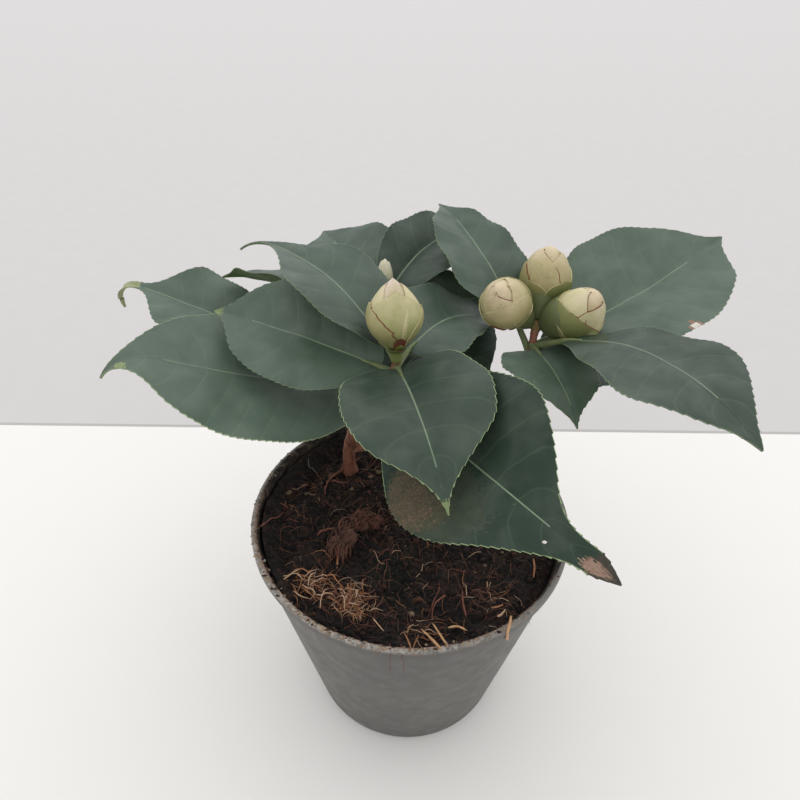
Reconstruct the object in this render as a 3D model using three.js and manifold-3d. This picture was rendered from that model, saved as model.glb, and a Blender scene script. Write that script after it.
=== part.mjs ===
// A young camellia with five flower buds, growing in a round plastic nursery pot.
// Millimetres, +Z up. The origin is the centre of the pot's flat underside; the
// front of the plant, where its largest low leaf hangs over the rim, faces -Y.
import * as THREE from 'three';
import { mergeVertices } from 'three/addons/utils/BufferGeometryUtils.js';
import Module from 'manifold-3d';

const wasm = await Module();
wasm.setup();

// Pot: a 13 cm pot, straight tapering wall with a small thickened rim.
const POT_HEIGHT = 105;
const RIM_RADIUS = 65;
const RIM_BAND = 4;
const RIM_LIP = 1.6;
const RIM_ROUND = 0.8;
const BASE_RADIUS = 45;
const WALL = 1.5;
const FLOOR = 1.8;
const POT_SIDES = 64;
const DRAIN_COUNT = 6;
const DRAIN_RADIUS = 4;
const DRAIN_RING = 35;
const DRAIN_SIDES = 12;
const FOOT_BEVEL = 1;

// Soil: fills the pot to just under its rim, lumpy on top. The gap is the clear space
// between any two pieces.
const GAP = 0.3;
const SOIL_LEVEL = 96;
const SOIL_LUMP = 1.6;
const SMALL_LUMP = 1;
const LUMP_SPAN_X = 9;
const LUMP_SPAN_Y = 11;
const SMALL_SPAN_X = 4.7;
const SMALL_SPAN_Y = 6.1;
const SOIL_EDGE_DROP = 2;
const SOIL_RINGS = 8;
const SOIL_SIDES = 48;

// Trunk: leaves the soil behind the pot's centre and forks low down.
const TRUNK_FOOT = new THREE.Vector3(-28, 31, SOIL_LEVEL + GAP);
const TRUNK_PATH = [TRUNK_FOOT, new THREE.Vector3(-27, 28, 113), new THREE.Vector3(-24, 23.5, 128),
  new THREE.Vector3(-22, 20, 140)];
const TRUNK_RADII = [2.9, 2.2];
const FLARE_HEIGHT = 5;
const FLARE_WIDTH = 1.6;
const FLARE_ROOTS = 4;
const FLARE_DIP = 0.3;
const TRUNK_SIDES = 12;
const TRUNK_ROWS = 16;
const FLAT_PATCH = 9;

// Boughs: each one tapering limb, from the trunk to the foot of its mass of foliage.
const BOUGHS = {
  bough_right: {
    path: [[-27, 28, 112], [-8, 30, 114.5], [14, 30, 123], [31, 28, 137]],
    radii: [2.1, 1.7],
  },
  bough_left: {
    path: [[-22.4, 20.8, 137.5], [-19, 17, 146], [-15, 13, 153]],
    radii: [1.9, 1.7],
  },
  bough_back: {
    path: [[-23.1, 21.9, 134], [-20.5, 25, 141], [-18.5, 30, 149]],
    radii: [1.8, 1.6],
  },
};
const LIMB_SIDES = 8;
const ROWS_PER_LIMB = 8;

// Leaves: a curved blade on a short stalk. Widths are across the blade at its widest.
const BLADE_ROWS = 10;
const BLADE_COLUMNS = 4;
const BLADE_THICKNESS = 1;
const MIDRIB_STEPS = 40;
const STALK_RADIUS = 1.3;
const STALK_REACH = 0.12;
const STALK_SIDES = 5;
const STALK_ROWS = 4;
const TIP_HALF_WIDTH = 0.5;
const BLADE_FULLNESS = 0.68;
const CURL_POWER = 1.5;
const PLAIN_LEAF = {
  droop: 20, roll: 0, sway: 0, stalk: 4, curl: 0, curlFrom: 0.75, broad: 0.8,
  narrow: 0.7, neck: 0.65, neckEnd: 1, skew: 0, fold: [12, 12],
};

// Masses of foliage. Each has one stem. The leaves that show from the front are given
// one by one: heading and rise of the stalk, length and width of the blade, and how the
// blade droops, rolls, sways and curls (degrees and mm). The ones behind grow by a seeded rule.
const MASSES = {
  foliage_left: {
    stem: [[-14.8, 12.8, 153.3], [-12, 9.5, 158], [-8, 4, 168], [-6, 1.5, 176]],
    radii: [1.6, 1.4],
    leaves: [
      {
        from: [-6, 1.5, 174], head: -75, rise: 10, length: 61, width: 50, droop: 44, roll: -7, stalk: 2,
        broad: 0.76, narrow: 0.87, neck: 0.57, fold: [18, 18],
      },
      {
        from: [-7.5, 2.5, 171], head: 166, rise: 18, length: 66, width: 44, droop: 15, roll: 28, sway: -5,
        broad: 0.86, neck: 0.75,
      },
      {
        from: [-12, 10, 156], head: 185, rise: 10, length: 99, width: 60, droop: -21, roll: 13, stalk: 2,
        sway: 17, curl: 87, broad: 0.86, narrow: 0.86, neck: 0.68, fold: [3, 4],
      },
      {
        from: [-6.5, 3, 175.5], head: 140, rise: 47, length: 74, width: 43, droop: 51, roll: -5, stalk: 6,
        sway: 16, curl: 36, curlFrom: 0.7, broad: 0.96, narrow: 0.93, neck: 0.4, neckEnd: 0.85, fold: [9, 9],
      },
      {
        from: [-6, 2, 174], head: 54, rise: 24, length: 51, width: 40, droop: 60, roll: -4, stalk: 6.5,
        sway: -24, broad: 0.5, neck: 0.8, skew: -0.12, fold: [15, 3],
      },
      {
        from: [-11, 8.5, 160], head: -59, rise: 6, length: 97, width: 59, droop: 3, roll: -29, stalk: 14,
        sway: 4, broad: 0.87, narrow: 0.8, neck: 0.35, fold: [18, 0],
      },
    ],
    buds: [
      {
        at: [-6, 1.5, 176], lean: [-1, 1.5, 20], stalk: 4, length: 27, width: 19.5,
        lowness: 0.95, fullness: 1,
      },
    ],
    behind: { count: 2, along: [0.3, 0.6], head: [60, 120], rise: 10, length: 50, width: 32 },
  },
  foliage_right: {
    stem: [[31.4, 27.9, 137.2], [38, 26, 146], [43.5, 23.5, 158], [45, 22, 169], [46, 24, 178]],
    radii: [1.7, 1.4],
    leaves: [
      {
        from: [44.5, 22.5, 168], head: 125, rise: 47, length: 58, width: 36, droop: 41, stalk: 18,
        sway: -6, broad: 0.66, neck: 0.76, skew: -0.13,
      },
      {
        from: [45, 21.5, 171], head: -69, rise: 1, length: 39, width: 36, droop: 26, roll: 3, stalk: 3,
        sway: -15, broad: 0.57, narrow: 0.8, neck: 0.6, skew: 0.11, fold: [10, 10],
      },
      {
        from: [45, 22, 170], head: -50, rise: 34, length: 80, width: 46, droop: 60, roll: -7, stalk: 15,
        sway: -16, broad: 1.3, neck: 0.64, skew: 0.08, fold: [-6, 8],
      },
      {
        from: [45, 22.5, 170], head: 17, rise: 18, length: 74, width: 64, droop: -10, roll: -7, stalk: 13,
        sway: 11, broad: 0.86, neck: 0.8, fold: [15, 12],
      },
    ],
    buds: [
      { at: [46, 24, 177], lean: [-13, -3, 11], stalk: 6.5, length: 21, width: 19 },
      { at: [46, 24, 177], lean: [4, 13, 15], stalk: 7.5, length: 22, width: 20 },
      { at: [46, 24, 177], lean: [13, -3.5, 8], stalk: 5.5, length: 22, width: 20 },
    ],
    behind: { count: 2, along: [0.35, 0.6], head: [2, 20], rise: 15, length: 58, width: 34 },
  },
  foliage_back: {
    stem: [[-18.3, 30.4, 149.5], [-15, 37, 165], [-11.5, 42, 180]],
    radii: [1.5, 1.2],
    leaves: [
      {
        from: [-14.5, 37.5, 166], head: 157, rise: 25, length: 60, width: 33, droop: 39, roll: -22,
        stalk: 15, sway: 3, broad: 1.1, fold: [15, 15],
      },
      {
        from: [-13, 40, 172], head: 118, rise: 28, length: 52, width: 46, droop: 31, roll: 13, stalk: 10,
        broad: 0.73,
      },
      {
        from: [-11.5, 42, 178], head: 60, rise: 32, length: 60, width: 37, droop: 44, roll: -11, stalk: 5,
        sway: -20, neck: 0.7, skew: 0.14, fold: [26, 22],
      },
      {
        from: [-14.6, 37.8, 167], head: -22, rise: 8, length: 45, width: 46, droop: 40, roll: 3, stalk: 7,
        sway: -15, broad: 0.89, neck: 0.77, skew: -0.24, fold: [14, 16],
      },
    ],
    buds: [{ at: [-11.5, 42, 180], lean: [0.5, 4, 10], stalk: 2, length: 14, width: 9 }],
    behind: { count: 4, along: [0.1, 0.6], head: [60, 160], rise: 4, length: 66, width: 42 },
  },
  foliage_low_left: {
    stem: [[-24.3, 24.5, 124], [-31, 30, 136], [-40, 37.5, 145.5], [-48, 43.5, 152]],
    radii: [1.5, 1.2],
    leaves: [
      {
        from: [-47, 43, 151], head: 169, rise: 26, length: 91, width: 39, droop: 19, roll: 12, sway: -6,
        curl: 132, curlFrom: 0.76, broad: 1.1, narrow: 0.86, neck: 0.55, neckEnd: 0.78, fold: [13, 13],
      },
    ],
    buds: [],
    behind: { count: 3, along: [0.3, 0.8], head: [110, 200], rise: 0, length: 58, width: 38 },
  },
};
const GOLDEN_ANGLE = 137.5;
const SEED = 7;

// How a leaf behind differs from its mass's rule, in degrees and shares.
const RISE_VARIES = 6;
const LENGTH_VARIES = 0.12;
const WIDTH_VARIES = 0.1;
const BEHIND_DROOP = 28;
const DROOP_VARIES = 8;
const BEHIND_STALK = 6;

// Buds: pointed eggs, widest below their middle, on a short neck. A fuller bud is blunter.
const BUD_SIDES = 12;
const BUD_ROWS = 8;
const PLAIN_BUD = { lowness: 0.8, fullness: 0.6 };
const NECK_RADII = [1.4, 1.6];
const NECK_ROWS = 3;
const NECK_REACH = 0.3;

const WELD = 1e-4;
const up = new THREE.Vector3(0, 0, 1);
const ASIDE = new THREE.Vector3(0, 1, 0.1);
const radians = THREE.MathUtils.degToRad;

// A small repeatable random source, 0 to 1.
const RANDOM_FACTOR = 16807;
const RANDOM_LIMIT = 2147483647;

function seededRandom(seed) {
  let state = seed;
  return () => {
    state = (state * RANDOM_FACTOR) % RANDOM_LIMIT;
    return state / RANDOM_LIMIT;
  };
}

// A geometry class's closed surface as a solid, with its faces turned outwards.
function solidOf(geometry) {
  const bare = geometry.clone();
  bare.deleteAttribute('normal');
  bare.deleteAttribute('uv');
  const merged = mergeVertices(bare, WELD);
  const vertices = merged.attributes.position.array;
  const corners = merged.index.array;
  const triangles = [];
  let volume = 0;
  const [a, b, c] = [new THREE.Vector3(), new THREE.Vector3(), new THREE.Vector3()];
  for (let i = 0; i < corners.length; i += 3) {
    const [p, q, r] = [corners[i], corners[i + 1], corners[i + 2]];
    if (p === q || q === r || r === p) continue;
    triangles.push(p, q, r);
    a.fromArray(vertices, 3 * p);
    b.fromArray(vertices, 3 * q);
    c.fromArray(vertices, 3 * r);
    volume += a.dot(b.cross(c));
  }
  if (volume < 0) triangles.reverse();
  return new wasm.Manifold(new wasm.Mesh({
    numProp: 3,
    vertProperties: new Float32Array(vertices),
    triVerts: new Uint32Array(triangles),
  }));
}

function geometryOf(solid) {
  const mesh = solid.getMesh();
  const geometry = new THREE.BufferGeometry();
  const positions = new Float32Array(mesh.numVert * 3);
  for (let i = 0; i < mesh.numVert; i += 1) {
    for (let k = 0; k < 3; k += 1) positions[3 * i + k] = mesh.vertProperties[mesh.numProp * i + k];
  }
  geometry.setAttribute('position', new THREE.BufferAttribute(positions, 3));
  geometry.setIndex(Array.from(mesh.triVerts));
  geometry.computeVertexNormals();
  return geometry;
}

// Moves every corner of a geometry by a rule.
function reshape(geometry, rule) {
  const position = geometry.attributes.position;
  const corner = new THREE.Vector3();
  for (let i = 0; i < position.count; i += 1) {
    corner.fromBufferAttribute(position, i);
    const moved = rule(corner);
    position.setXYZ(i, moved.x, moved.y, moved.z);
  }
  return geometry;
}

// One tapering limb along a smooth path, grown by a margin where it is asked for.
// Only the trunk flares: a flare rule gives the extra radius at an angle and a share of
// the way up, and its foot is cut level.
function limb(points, radii, { grow = 0, flare = null, rows = ROWS_PER_LIMB, sides = LIMB_SIDES } = {}) {
  const curve = new THREE.CatmullRomCurve3(points);
  const tube = new THREE.CylinderGeometry(1, 1, 1, sides, rows);
  return solidOf(reshape(tube, (corner) => {
    const along = THREE.MathUtils.clamp(0.5 - corner.y, 0, 1);
    const ahead = flare && along === 0 ? up : curve.getTangent(along);
    const side = new THREE.Vector3().crossVectors(ahead, ASIDE).normalize();
    const other = new THREE.Vector3().crossVectors(ahead, side).normalize();
    const angle = Math.atan2(corner.z, corner.x);
    const onAxis = Math.hypot(corner.x, corner.z) < 0.5;
    const wide = THREE.MathUtils.lerp(radii[0], radii[1], along) + (flare ? flare(angle, along) : 0) + grow;
    const radius = onAxis ? 0 : wide;
    return curve.getPoint(along)
      .addScaledVector(side, radius * Math.cos(angle))
      .addScaledVector(other, radius * Math.sin(angle));
  }));
}

function pointsOf(list) {
  return list.map((p) => new THREE.Vector3(...p));
}

// Half the blade's width along it, as a share of its widest place: a broad oval that
// narrows at its neck into a drawn-out tip.
function bladeShare(s, leaf) {
  const t = THREE.MathUtils.smoothstep(s, leaf.neck, leaf.neckEnd);
  return Math.sin(Math.PI * s ** leaf.broad) ** BLADE_FULLNESS * (1 - leaf.narrow * t);
}

// The way the midrib points, s of the way along the blade.
function midribDirection(leaf, s) {
  const curled = THREE.MathUtils.clamp((s - leaf.curlFrom) / (1 - leaf.curlFrom), 0, 1) ** CURL_POWER;
  const pitch = radians(leaf.rise - leaf.droop * s - leaf.curl * curled);
  const head = radians(leaf.head + leaf.sway * s);
  return new THREE.Vector3(Math.cos(head), Math.sin(head), 0).multiplyScalar(Math.cos(pitch))
    .addScaledVector(up, Math.sin(pitch));
}

function midribPoints(leaf) {
  const start = new THREE.Vector3(...leaf.from).addScaledVector(midribDirection(leaf, 0), leaf.stalk);
  const points = [start];
  for (let i = 0; i < MIDRIB_STEPS; i += 1) {
    const step = midribDirection(leaf, (i + 0.5) / MIDRIB_STEPS).multiplyScalar(leaf.length / MIDRIB_STEPS);
    points.push(points[i].clone().add(step));
  }
  return points;
}

// A leaf: its blade, folded a little along the midrib, and its stalk sunk into the stem.
function leafPieces(given) {
  const leaf = { ...PLAIN_LEAF, ...given };
  const points = midribPoints(leaf);
  const frame = (s) => {
    const ahead = midribDirection(leaf, s);
    const level = new THREE.Vector3().crossVectors(ahead, up).normalize();
    const side = level.applyAxisAngle(ahead, -radians(leaf.roll));
    return { side, top: new THREE.Vector3().crossVectors(side, ahead) };
  };
  const sheet = new THREE.BoxGeometry(1, 1, 1, BLADE_ROWS, BLADE_COLUMNS, 1);
  const blade = reshape(sheet, (corner) => {
    const s = corner.x + 0.5;
    const u = 2 * corner.y;
    const { side, top } = frame(s);
    const fold = radians(leaf.fold[u < 0 ? 0 : 1]);
    const half = (leaf.width / 2) * bladeShare(s, leaf) * (1 + Math.sign(u) * leaf.skew);
    const across = Math.max(half, TIP_HALF_WIDTH) * u;
    return points[Math.round(s * MIDRIB_STEPS)].clone()
      .addScaledVector(side, across * Math.cos(fold))
      .addScaledVector(top, Math.abs(across) * Math.sin(fold) + corner.z * BLADE_THICKNESS);
  });
  const path = [new THREE.Vector3(...leaf.from), points[0], points[Math.round(STALK_REACH * MIDRIB_STEPS)]];
  const stalk = limb(path, [STALK_RADIUS, TIP_HALF_WIDTH], { rows: STALK_ROWS, sides: STALK_SIDES });
  return { blade: solidOf(blade), stalk };
}

function leafSolid(given) {
  const { blade, stalk } = leafPieces(given);
  return blade.add(stalk);
}

// A bud: a pointed egg standing on its stem's tip, leaning along a direction.
function budSolid(given) {
  const bud = { ...PLAIN_BUD, ...given };
  const axis = new THREE.Vector3(...bud.lean).normalize();
  const turn = new THREE.Quaternion().setFromUnitVectors(up, axis);
  const foot = new THREE.Vector3(...bud.at).addScaledVector(axis, bud.stalk);
  const egg = new THREE.SphereGeometry(1, BUD_SIDES, BUD_ROWS);
  const body = solidOf(reshape(egg, (corner) => {
    const along = (corner.y + 1) / 2;
    const atEnd = along <= 0 || along >= 1;
    const share = atEnd ? 0 : Math.sin(Math.PI * along ** bud.lowness) ** bud.fullness;
    const angle = Math.atan2(corner.z, corner.x);
    const radius = (bud.width / 2) * share;
    const spot = new THREE.Vector3(radius * Math.cos(angle), radius * Math.sin(angle), bud.length * along);
    return spot.applyQuaternion(turn).add(foot);
  }));
  const neck = foot.clone().addScaledVector(axis, bud.length * NECK_REACH);
  const path = [new THREE.Vector3(...bud.at), foot, neck];
  return body.add(limb(path, NECK_RADII, { rows: NECK_ROWS, sides: STALK_SIDES }));
}

// Leaves on the far side, from the stem's foot up: their headings go round by the
// golden angle, folded into the sector that faces away from the front, and their
// sizes come from the seed.
function leavesBehind(mass, random) {
  const rule = mass.behind;
  const stem = new THREE.CatmullRomCurve3(pointsOf(mass.stem));
  const span = rule.head[1] - rule.head[0];
  return Array.from({ length: rule.count }, (_, i) => {
    const vary = () => 2 * random() - 1;
    const node = THREE.MathUtils.lerp(rule.along[0], rule.along[1], i / (rule.count - 1));
    return {
      from: stem.getPoint(node).toArray(),
      head: rule.head[0] + ((i * GOLDEN_ANGLE) % span),
      rise: rule.rise + RISE_VARIES * vary(),
      length: rule.length * (1 + LENGTH_VARIES * vary()),
      width: rule.width * (1 + WIDTH_VARIES * vary()),
      droop: BEHIND_DROOP + DROOP_VARIES * vary(),
      stalk: BEHIND_STALK,
    };
  });
}

function isEmpty(solid) {
  return solid.getMesh().triVerts.length === 0;
}

// A mass of foliage as the front shows it: one stem, with leaves and buds fused on.
function massSolid(mass) {
  let solid = limb(pointsOf(mass.stem), mass.radii);
  for (const leaf of mass.leaves) solid = solid.add(leafSolid(leaf));
  for (const bud of mass.buds) solid = solid.add(budSolid(bud));
  return solid;
}

function potSolid() {
  const slope = (RIM_RADIUS - RIM_LIP - BASE_RADIUS) / (POT_HEIGHT - RIM_BAND);
  const wallAt = (z) => BASE_RADIUS + slope * z;
  const profile = [
    [0, 0], [BASE_RADIUS - FOOT_BEVEL, 0], [wallAt(FOOT_BEVEL), FOOT_BEVEL],
    [wallAt(POT_HEIGHT - RIM_BAND), POT_HEIGHT - RIM_BAND],
    [RIM_RADIUS, POT_HEIGHT - RIM_BAND + RIM_ROUND], [RIM_RADIUS, POT_HEIGHT - RIM_ROUND],
    [RIM_RADIUS - RIM_ROUND, POT_HEIGHT], [RIM_RADIUS - RIM_LIP - RIM_ROUND, POT_HEIGHT],
    [wallAt(POT_HEIGHT - RIM_BAND) - WALL, POT_HEIGHT - RIM_BAND], [wallAt(FLOOR) - WALL, FLOOR], [0, FLOOR],
  ].map(([r, z]) => new THREE.Vector2(r, z));
  let pot = solidOf(new THREE.LatheGeometry(profile, POT_SIDES).rotateX(Math.PI / 2));
  for (let i = 0; i < DRAIN_COUNT; i += 1) {
    const angle = ((i + 0.5) * 2 * Math.PI) / DRAIN_COUNT;
    const drill = new THREE.CylinderGeometry(DRAIN_RADIUS, DRAIN_RADIUS, 4 * FLOOR, DRAIN_SIDES);
    drill.rotateX(Math.PI / 2);
    drill.translate(DRAIN_RING * Math.cos(angle), DRAIN_RING * Math.sin(angle), 0);
    pot = pot.subtract(solidOf(drill));
  }
  return pot;
}

// The height of the soil's lumpy top, level where the trunk stands.
function soilHeight(x, y) {
  const broad = Math.sin(x / LUMP_SPAN_X + 1) * Math.cos(y / LUMP_SPAN_Y);
  const small = Math.sin(x / SMALL_SPAN_X - y / SMALL_SPAN_Y);
  const fromTrunk = Math.hypot(x - TRUNK_FOOT.x, y - TRUNK_FOOT.y);
  const share = THREE.MathUtils.smoothstep(fromTrunk, FLAT_PATCH, 2 * FLAT_PATCH);
  return SOIL_LEVEL + (SOIL_LUMP * broad + SMALL_LUMP * small) * share;
}

function soilSolid() {
  const slope = (RIM_RADIUS - RIM_LIP - BASE_RADIUS) / (POT_HEIGHT - RIM_BAND);
  const reach = (z) => BASE_RADIUS + slope * z - WALL - 2 * GAP;
  const bottom = FLOOR + GAP;
  const profile = [[0, bottom], [reach(bottom), bottom]];
  for (let i = SOIL_RINGS; i >= 0; i -= 1) {
    profile.push([(reach(SOIL_LEVEL - SOIL_EDGE_DROP) * i) / SOIL_RINGS, SOIL_LEVEL]);
  }
  const lathe = new THREE.LatheGeometry(profile.map(([r, z]) => new THREE.Vector2(r, z)), SOIL_SIDES);
  return solidOf(reshape(lathe.rotateX(Math.PI / 2), (corner) => {
    const z = corner.z > SOIL_LEVEL / 2 ? soilHeight(corner.x, corner.y) : corner.z;
    return new THREE.Vector3(corner.x, corner.y, z);
  }));
}

// The root flare at the soil: low ridges that die out up the trunk.
function rootFlare(angle, along) {
  const height = along * (TRUNK_PATH.at(-1).z - TRUNK_FOOT.z);
  const fade = Math.max(0, 1 - height / FLARE_HEIGHT);
  return FLARE_WIDTH * fade * (1 - FLARE_DIP + FLARE_DIP * Math.cos(FLARE_ROOTS * angle));
}

const MATERIALS = {
  pot: new THREE.MeshStandardMaterial({ color: 0x4a4a49, roughness: 0.6, metalness: 0 }),
  soil: new THREE.MeshStandardMaterial({ color: 0x2b2321, roughness: 1, metalness: 0 }),
  bark: new THREE.MeshStandardMaterial({ color: 0x7a4a38, roughness: 0.8, metalness: 0 }),
  leaf: new THREE.MeshStandardMaterial({ color: 0x42584a, roughness: 0.55, metalness: 0 }),
};

const plant = new THREE.Group();

function place(name, solid, material) {
  const mesh = new THREE.Mesh(geometryOf(solid), material);
  mesh.name = name;
  plant.add(mesh);
}

place('pot', potSolid(), MATERIALS.pot);
place('soil', soilSolid(), MATERIALS.soil);

// Limbs: each later one is cut clear of the earlier ones it grows from.
const trunkShape = { flare: rootFlare, rows: TRUNK_ROWS, sides: TRUNK_SIDES };
const trunk = limb(TRUNK_PATH, TRUNK_RADII, trunkShape);
place('trunk', trunk, MATERIALS.bark);
const limbs = [trunk];
const keepOut = [limb(TRUNK_PATH, TRUNK_RADII, { ...trunkShape, grow: GAP })];
for (const [name, bough] of Object.entries(BOUGHS)) {
  const path = pointsOf(bough.path);
  const solid = keepOut.reduce((left, other) => left.subtract(other), limb(path, bough.radii));
  place(name, solid, MATERIALS.bark);
  limbs.push(solid);
  keepOut.push(limb(path, bough.radii, { grow: GAP }));
}

// Masses: first what the front shows, then the leaves behind, of which a leaf whose
// blade would touch a limb, its own mass or another one is skipped.
const masses = new Map();
for (const [name, mass] of Object.entries(MASSES)) masses.set(name, massSolid(mass));
const random = seededRandom(SEED);
for (const [name, mass] of Object.entries(MASSES)) {
  for (const leaf of leavesBehind(mass, random)) {
    const { blade, stalk } = leafPieces(leaf);
    const free = (other) => isEmpty(other.intersect(blade));
    if (![...limbs, ...masses.values()].every(free)) continue;
    masses.set(name, masses.get(name).add(blade).add(stalk));
  }
}
for (const [name, solid] of masses) {
  place(name, keepOut.reduce((left, other) => left.subtract(other), solid), MATERIALS.leaf);
}

export default plant;
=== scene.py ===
"""A young camellia with five flower buds in a 13 cm nursery pot: the finished looks, built
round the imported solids. Lengths are millimetres and angles degrees until a mesh is made. The
frame is the part's own: its origin is under the pot, +Z is up and the front faces -Y. What
stands out on the soil is placed by the photograph's pixels, through the camera below."""

import math
import random

import bpy
import numpy as np
from mathutils import Matrix, Vector, noise


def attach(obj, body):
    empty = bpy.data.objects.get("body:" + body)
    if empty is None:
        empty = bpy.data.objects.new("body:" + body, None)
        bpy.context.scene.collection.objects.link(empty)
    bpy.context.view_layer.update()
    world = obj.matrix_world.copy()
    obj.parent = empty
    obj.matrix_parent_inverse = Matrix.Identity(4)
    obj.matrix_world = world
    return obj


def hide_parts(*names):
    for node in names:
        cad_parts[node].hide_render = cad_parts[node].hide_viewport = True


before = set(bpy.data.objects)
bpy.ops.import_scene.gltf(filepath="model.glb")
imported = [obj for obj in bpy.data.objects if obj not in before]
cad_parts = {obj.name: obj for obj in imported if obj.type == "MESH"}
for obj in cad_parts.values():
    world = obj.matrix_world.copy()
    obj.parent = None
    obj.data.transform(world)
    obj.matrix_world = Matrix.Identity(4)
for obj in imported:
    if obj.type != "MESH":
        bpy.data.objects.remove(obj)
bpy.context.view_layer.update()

MM = 0.001

# Camera: where the photograph was taken from.
CAMERA_PLACE = (-4.7, -173.8, 290.0)
CAMERA_PITCH = 36.69
CAMERA_ROLL = 0.68
CAMERA_LENS = 27
CAMERA_SENSOR = 36
PHOTO_SIDE = 800

# Stage and light: where the painted shadow line between the boards lies, and the room's brightness by
# direction.
SHADOW_LINE_START = 178
SHADOW_LINE_WIDTH = 3
FLOOR_DROP = 0.3
STAGE_NEAR = -3000
STAGE_FAR = 9000
STAGE_SIDE = 4000
ROOM_COLOUR = (0.97, 0.985, 1.0, 1.0)
ROOM_LIGHT = 0.95
ROOM_BEHIND = 0.36
ROOM_OVERHEAD = 0.5
ROOM_LEAST = 0.5

# Pot
POT_HEIGHT = 105
RIM_RADIUS = 65
RIM_BAND = 4
RIM_LIP = 1.6
RIM_ROUND = 0.8
BASE_RADIUS = 45
WALL = 1.5
FLOOR = 1.8
FOOT_BEVEL = 1
POT_SIDES = 192
DRAIN_COUNT = 6
DRAIN_RADIUS = 4
DRAIN_RING = 35
DRAIN_SIDES = 32
POT_SLOPE = (RIM_RADIUS - RIM_LIP - BASE_RADIUS) / (POT_HEIGHT - RIM_BAND)

# Soil
SOIL_LEVEL = 96
SOIL_LUMP = 1.6
SMALL_LUMP = 1
LUMP_SPAN_X = 9
LUMP_SPAN_Y = 11
SMALL_SPAN_X = 4.7
SMALL_SPAN_Y = 6.1
SOIL_RINGS = 120
SOIL_SIDES = 320
SOIL_DEPTH = 40
SOIL_BANK = (1.5, 6)
BANK_WIDTH = 8
SOIL_GAP = 0.1
LUMP_ROWS = 5
LUMP_SIDES = 7
CRUMB_COUNT = 2600
CRUMB_SEED = 11
FIBRE_COUNT = 1100
FIBRE_SEED = 5
FIBRE_SIDES = 4
FIBRE_REACH = 56
STRAND_STEPS = 30
STRAND_SIDES = 7
HAIR_STEPS = 20
HAIR_SIDES = 6
MOSS_AT = (-7, -27)
MOSS_REACH = (9, 12)
CRUST_COUNT = 1100
CRUST_SEED = 23
CRUST_TURN = (235, 42)
CRUST_TURNS = (150, 335)
CRUST_INSET = (0.2, 3.2)

# Trunk and boughs
TRUNK_FOOT = (-28, 31, 96.3)
FLAT_PATCH = 9
FLAT_FADE = 18
LIMBS = {
    "trunk": {
        "path": [TRUNK_FOOT, (-27, 28, 113), (-24, 23.5, 128), (-22, 20, 140)],
        "radii": (2.9, 2.2), "flare": 1.6,
    },
    "bough_right": {
        "path": [(-27, 28, 112), (-8, 30, 114.5), (14, 30, 123), (31, 28, 137)],
        "radii": (2.1, 1.7), "flare": 0,
    },
    "bough_left": {
        "path": [(-22.4, 20.8, 137.5), (-19, 17, 146), (-15, 13, 153)],
        "radii": (1.9, 1.7), "flare": 0,
    },
    "bough_back": {
        "path": [(-23.1, 21.9, 134), (-20.5, 25, 141), (-18.5, 30, 149)],
        "radii": (1.8, 1.6), "flare": 0,
    },
}
FLARE_HEIGHT = 5
FLARE_ROOTS = 4
FLARE_DIP = 0.3
LIMB_SIDES = 28
LIMB_STEP = 0.7
STEM_OVERLAP = 2
STEM_END = 0.97
STEM_STEPS = 60
STEM_SIDES = 16
NECK_STEPS = 10
NECK_SIDES = 12
STALK_STEPS = 16
STALK_SIDES = 10

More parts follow.
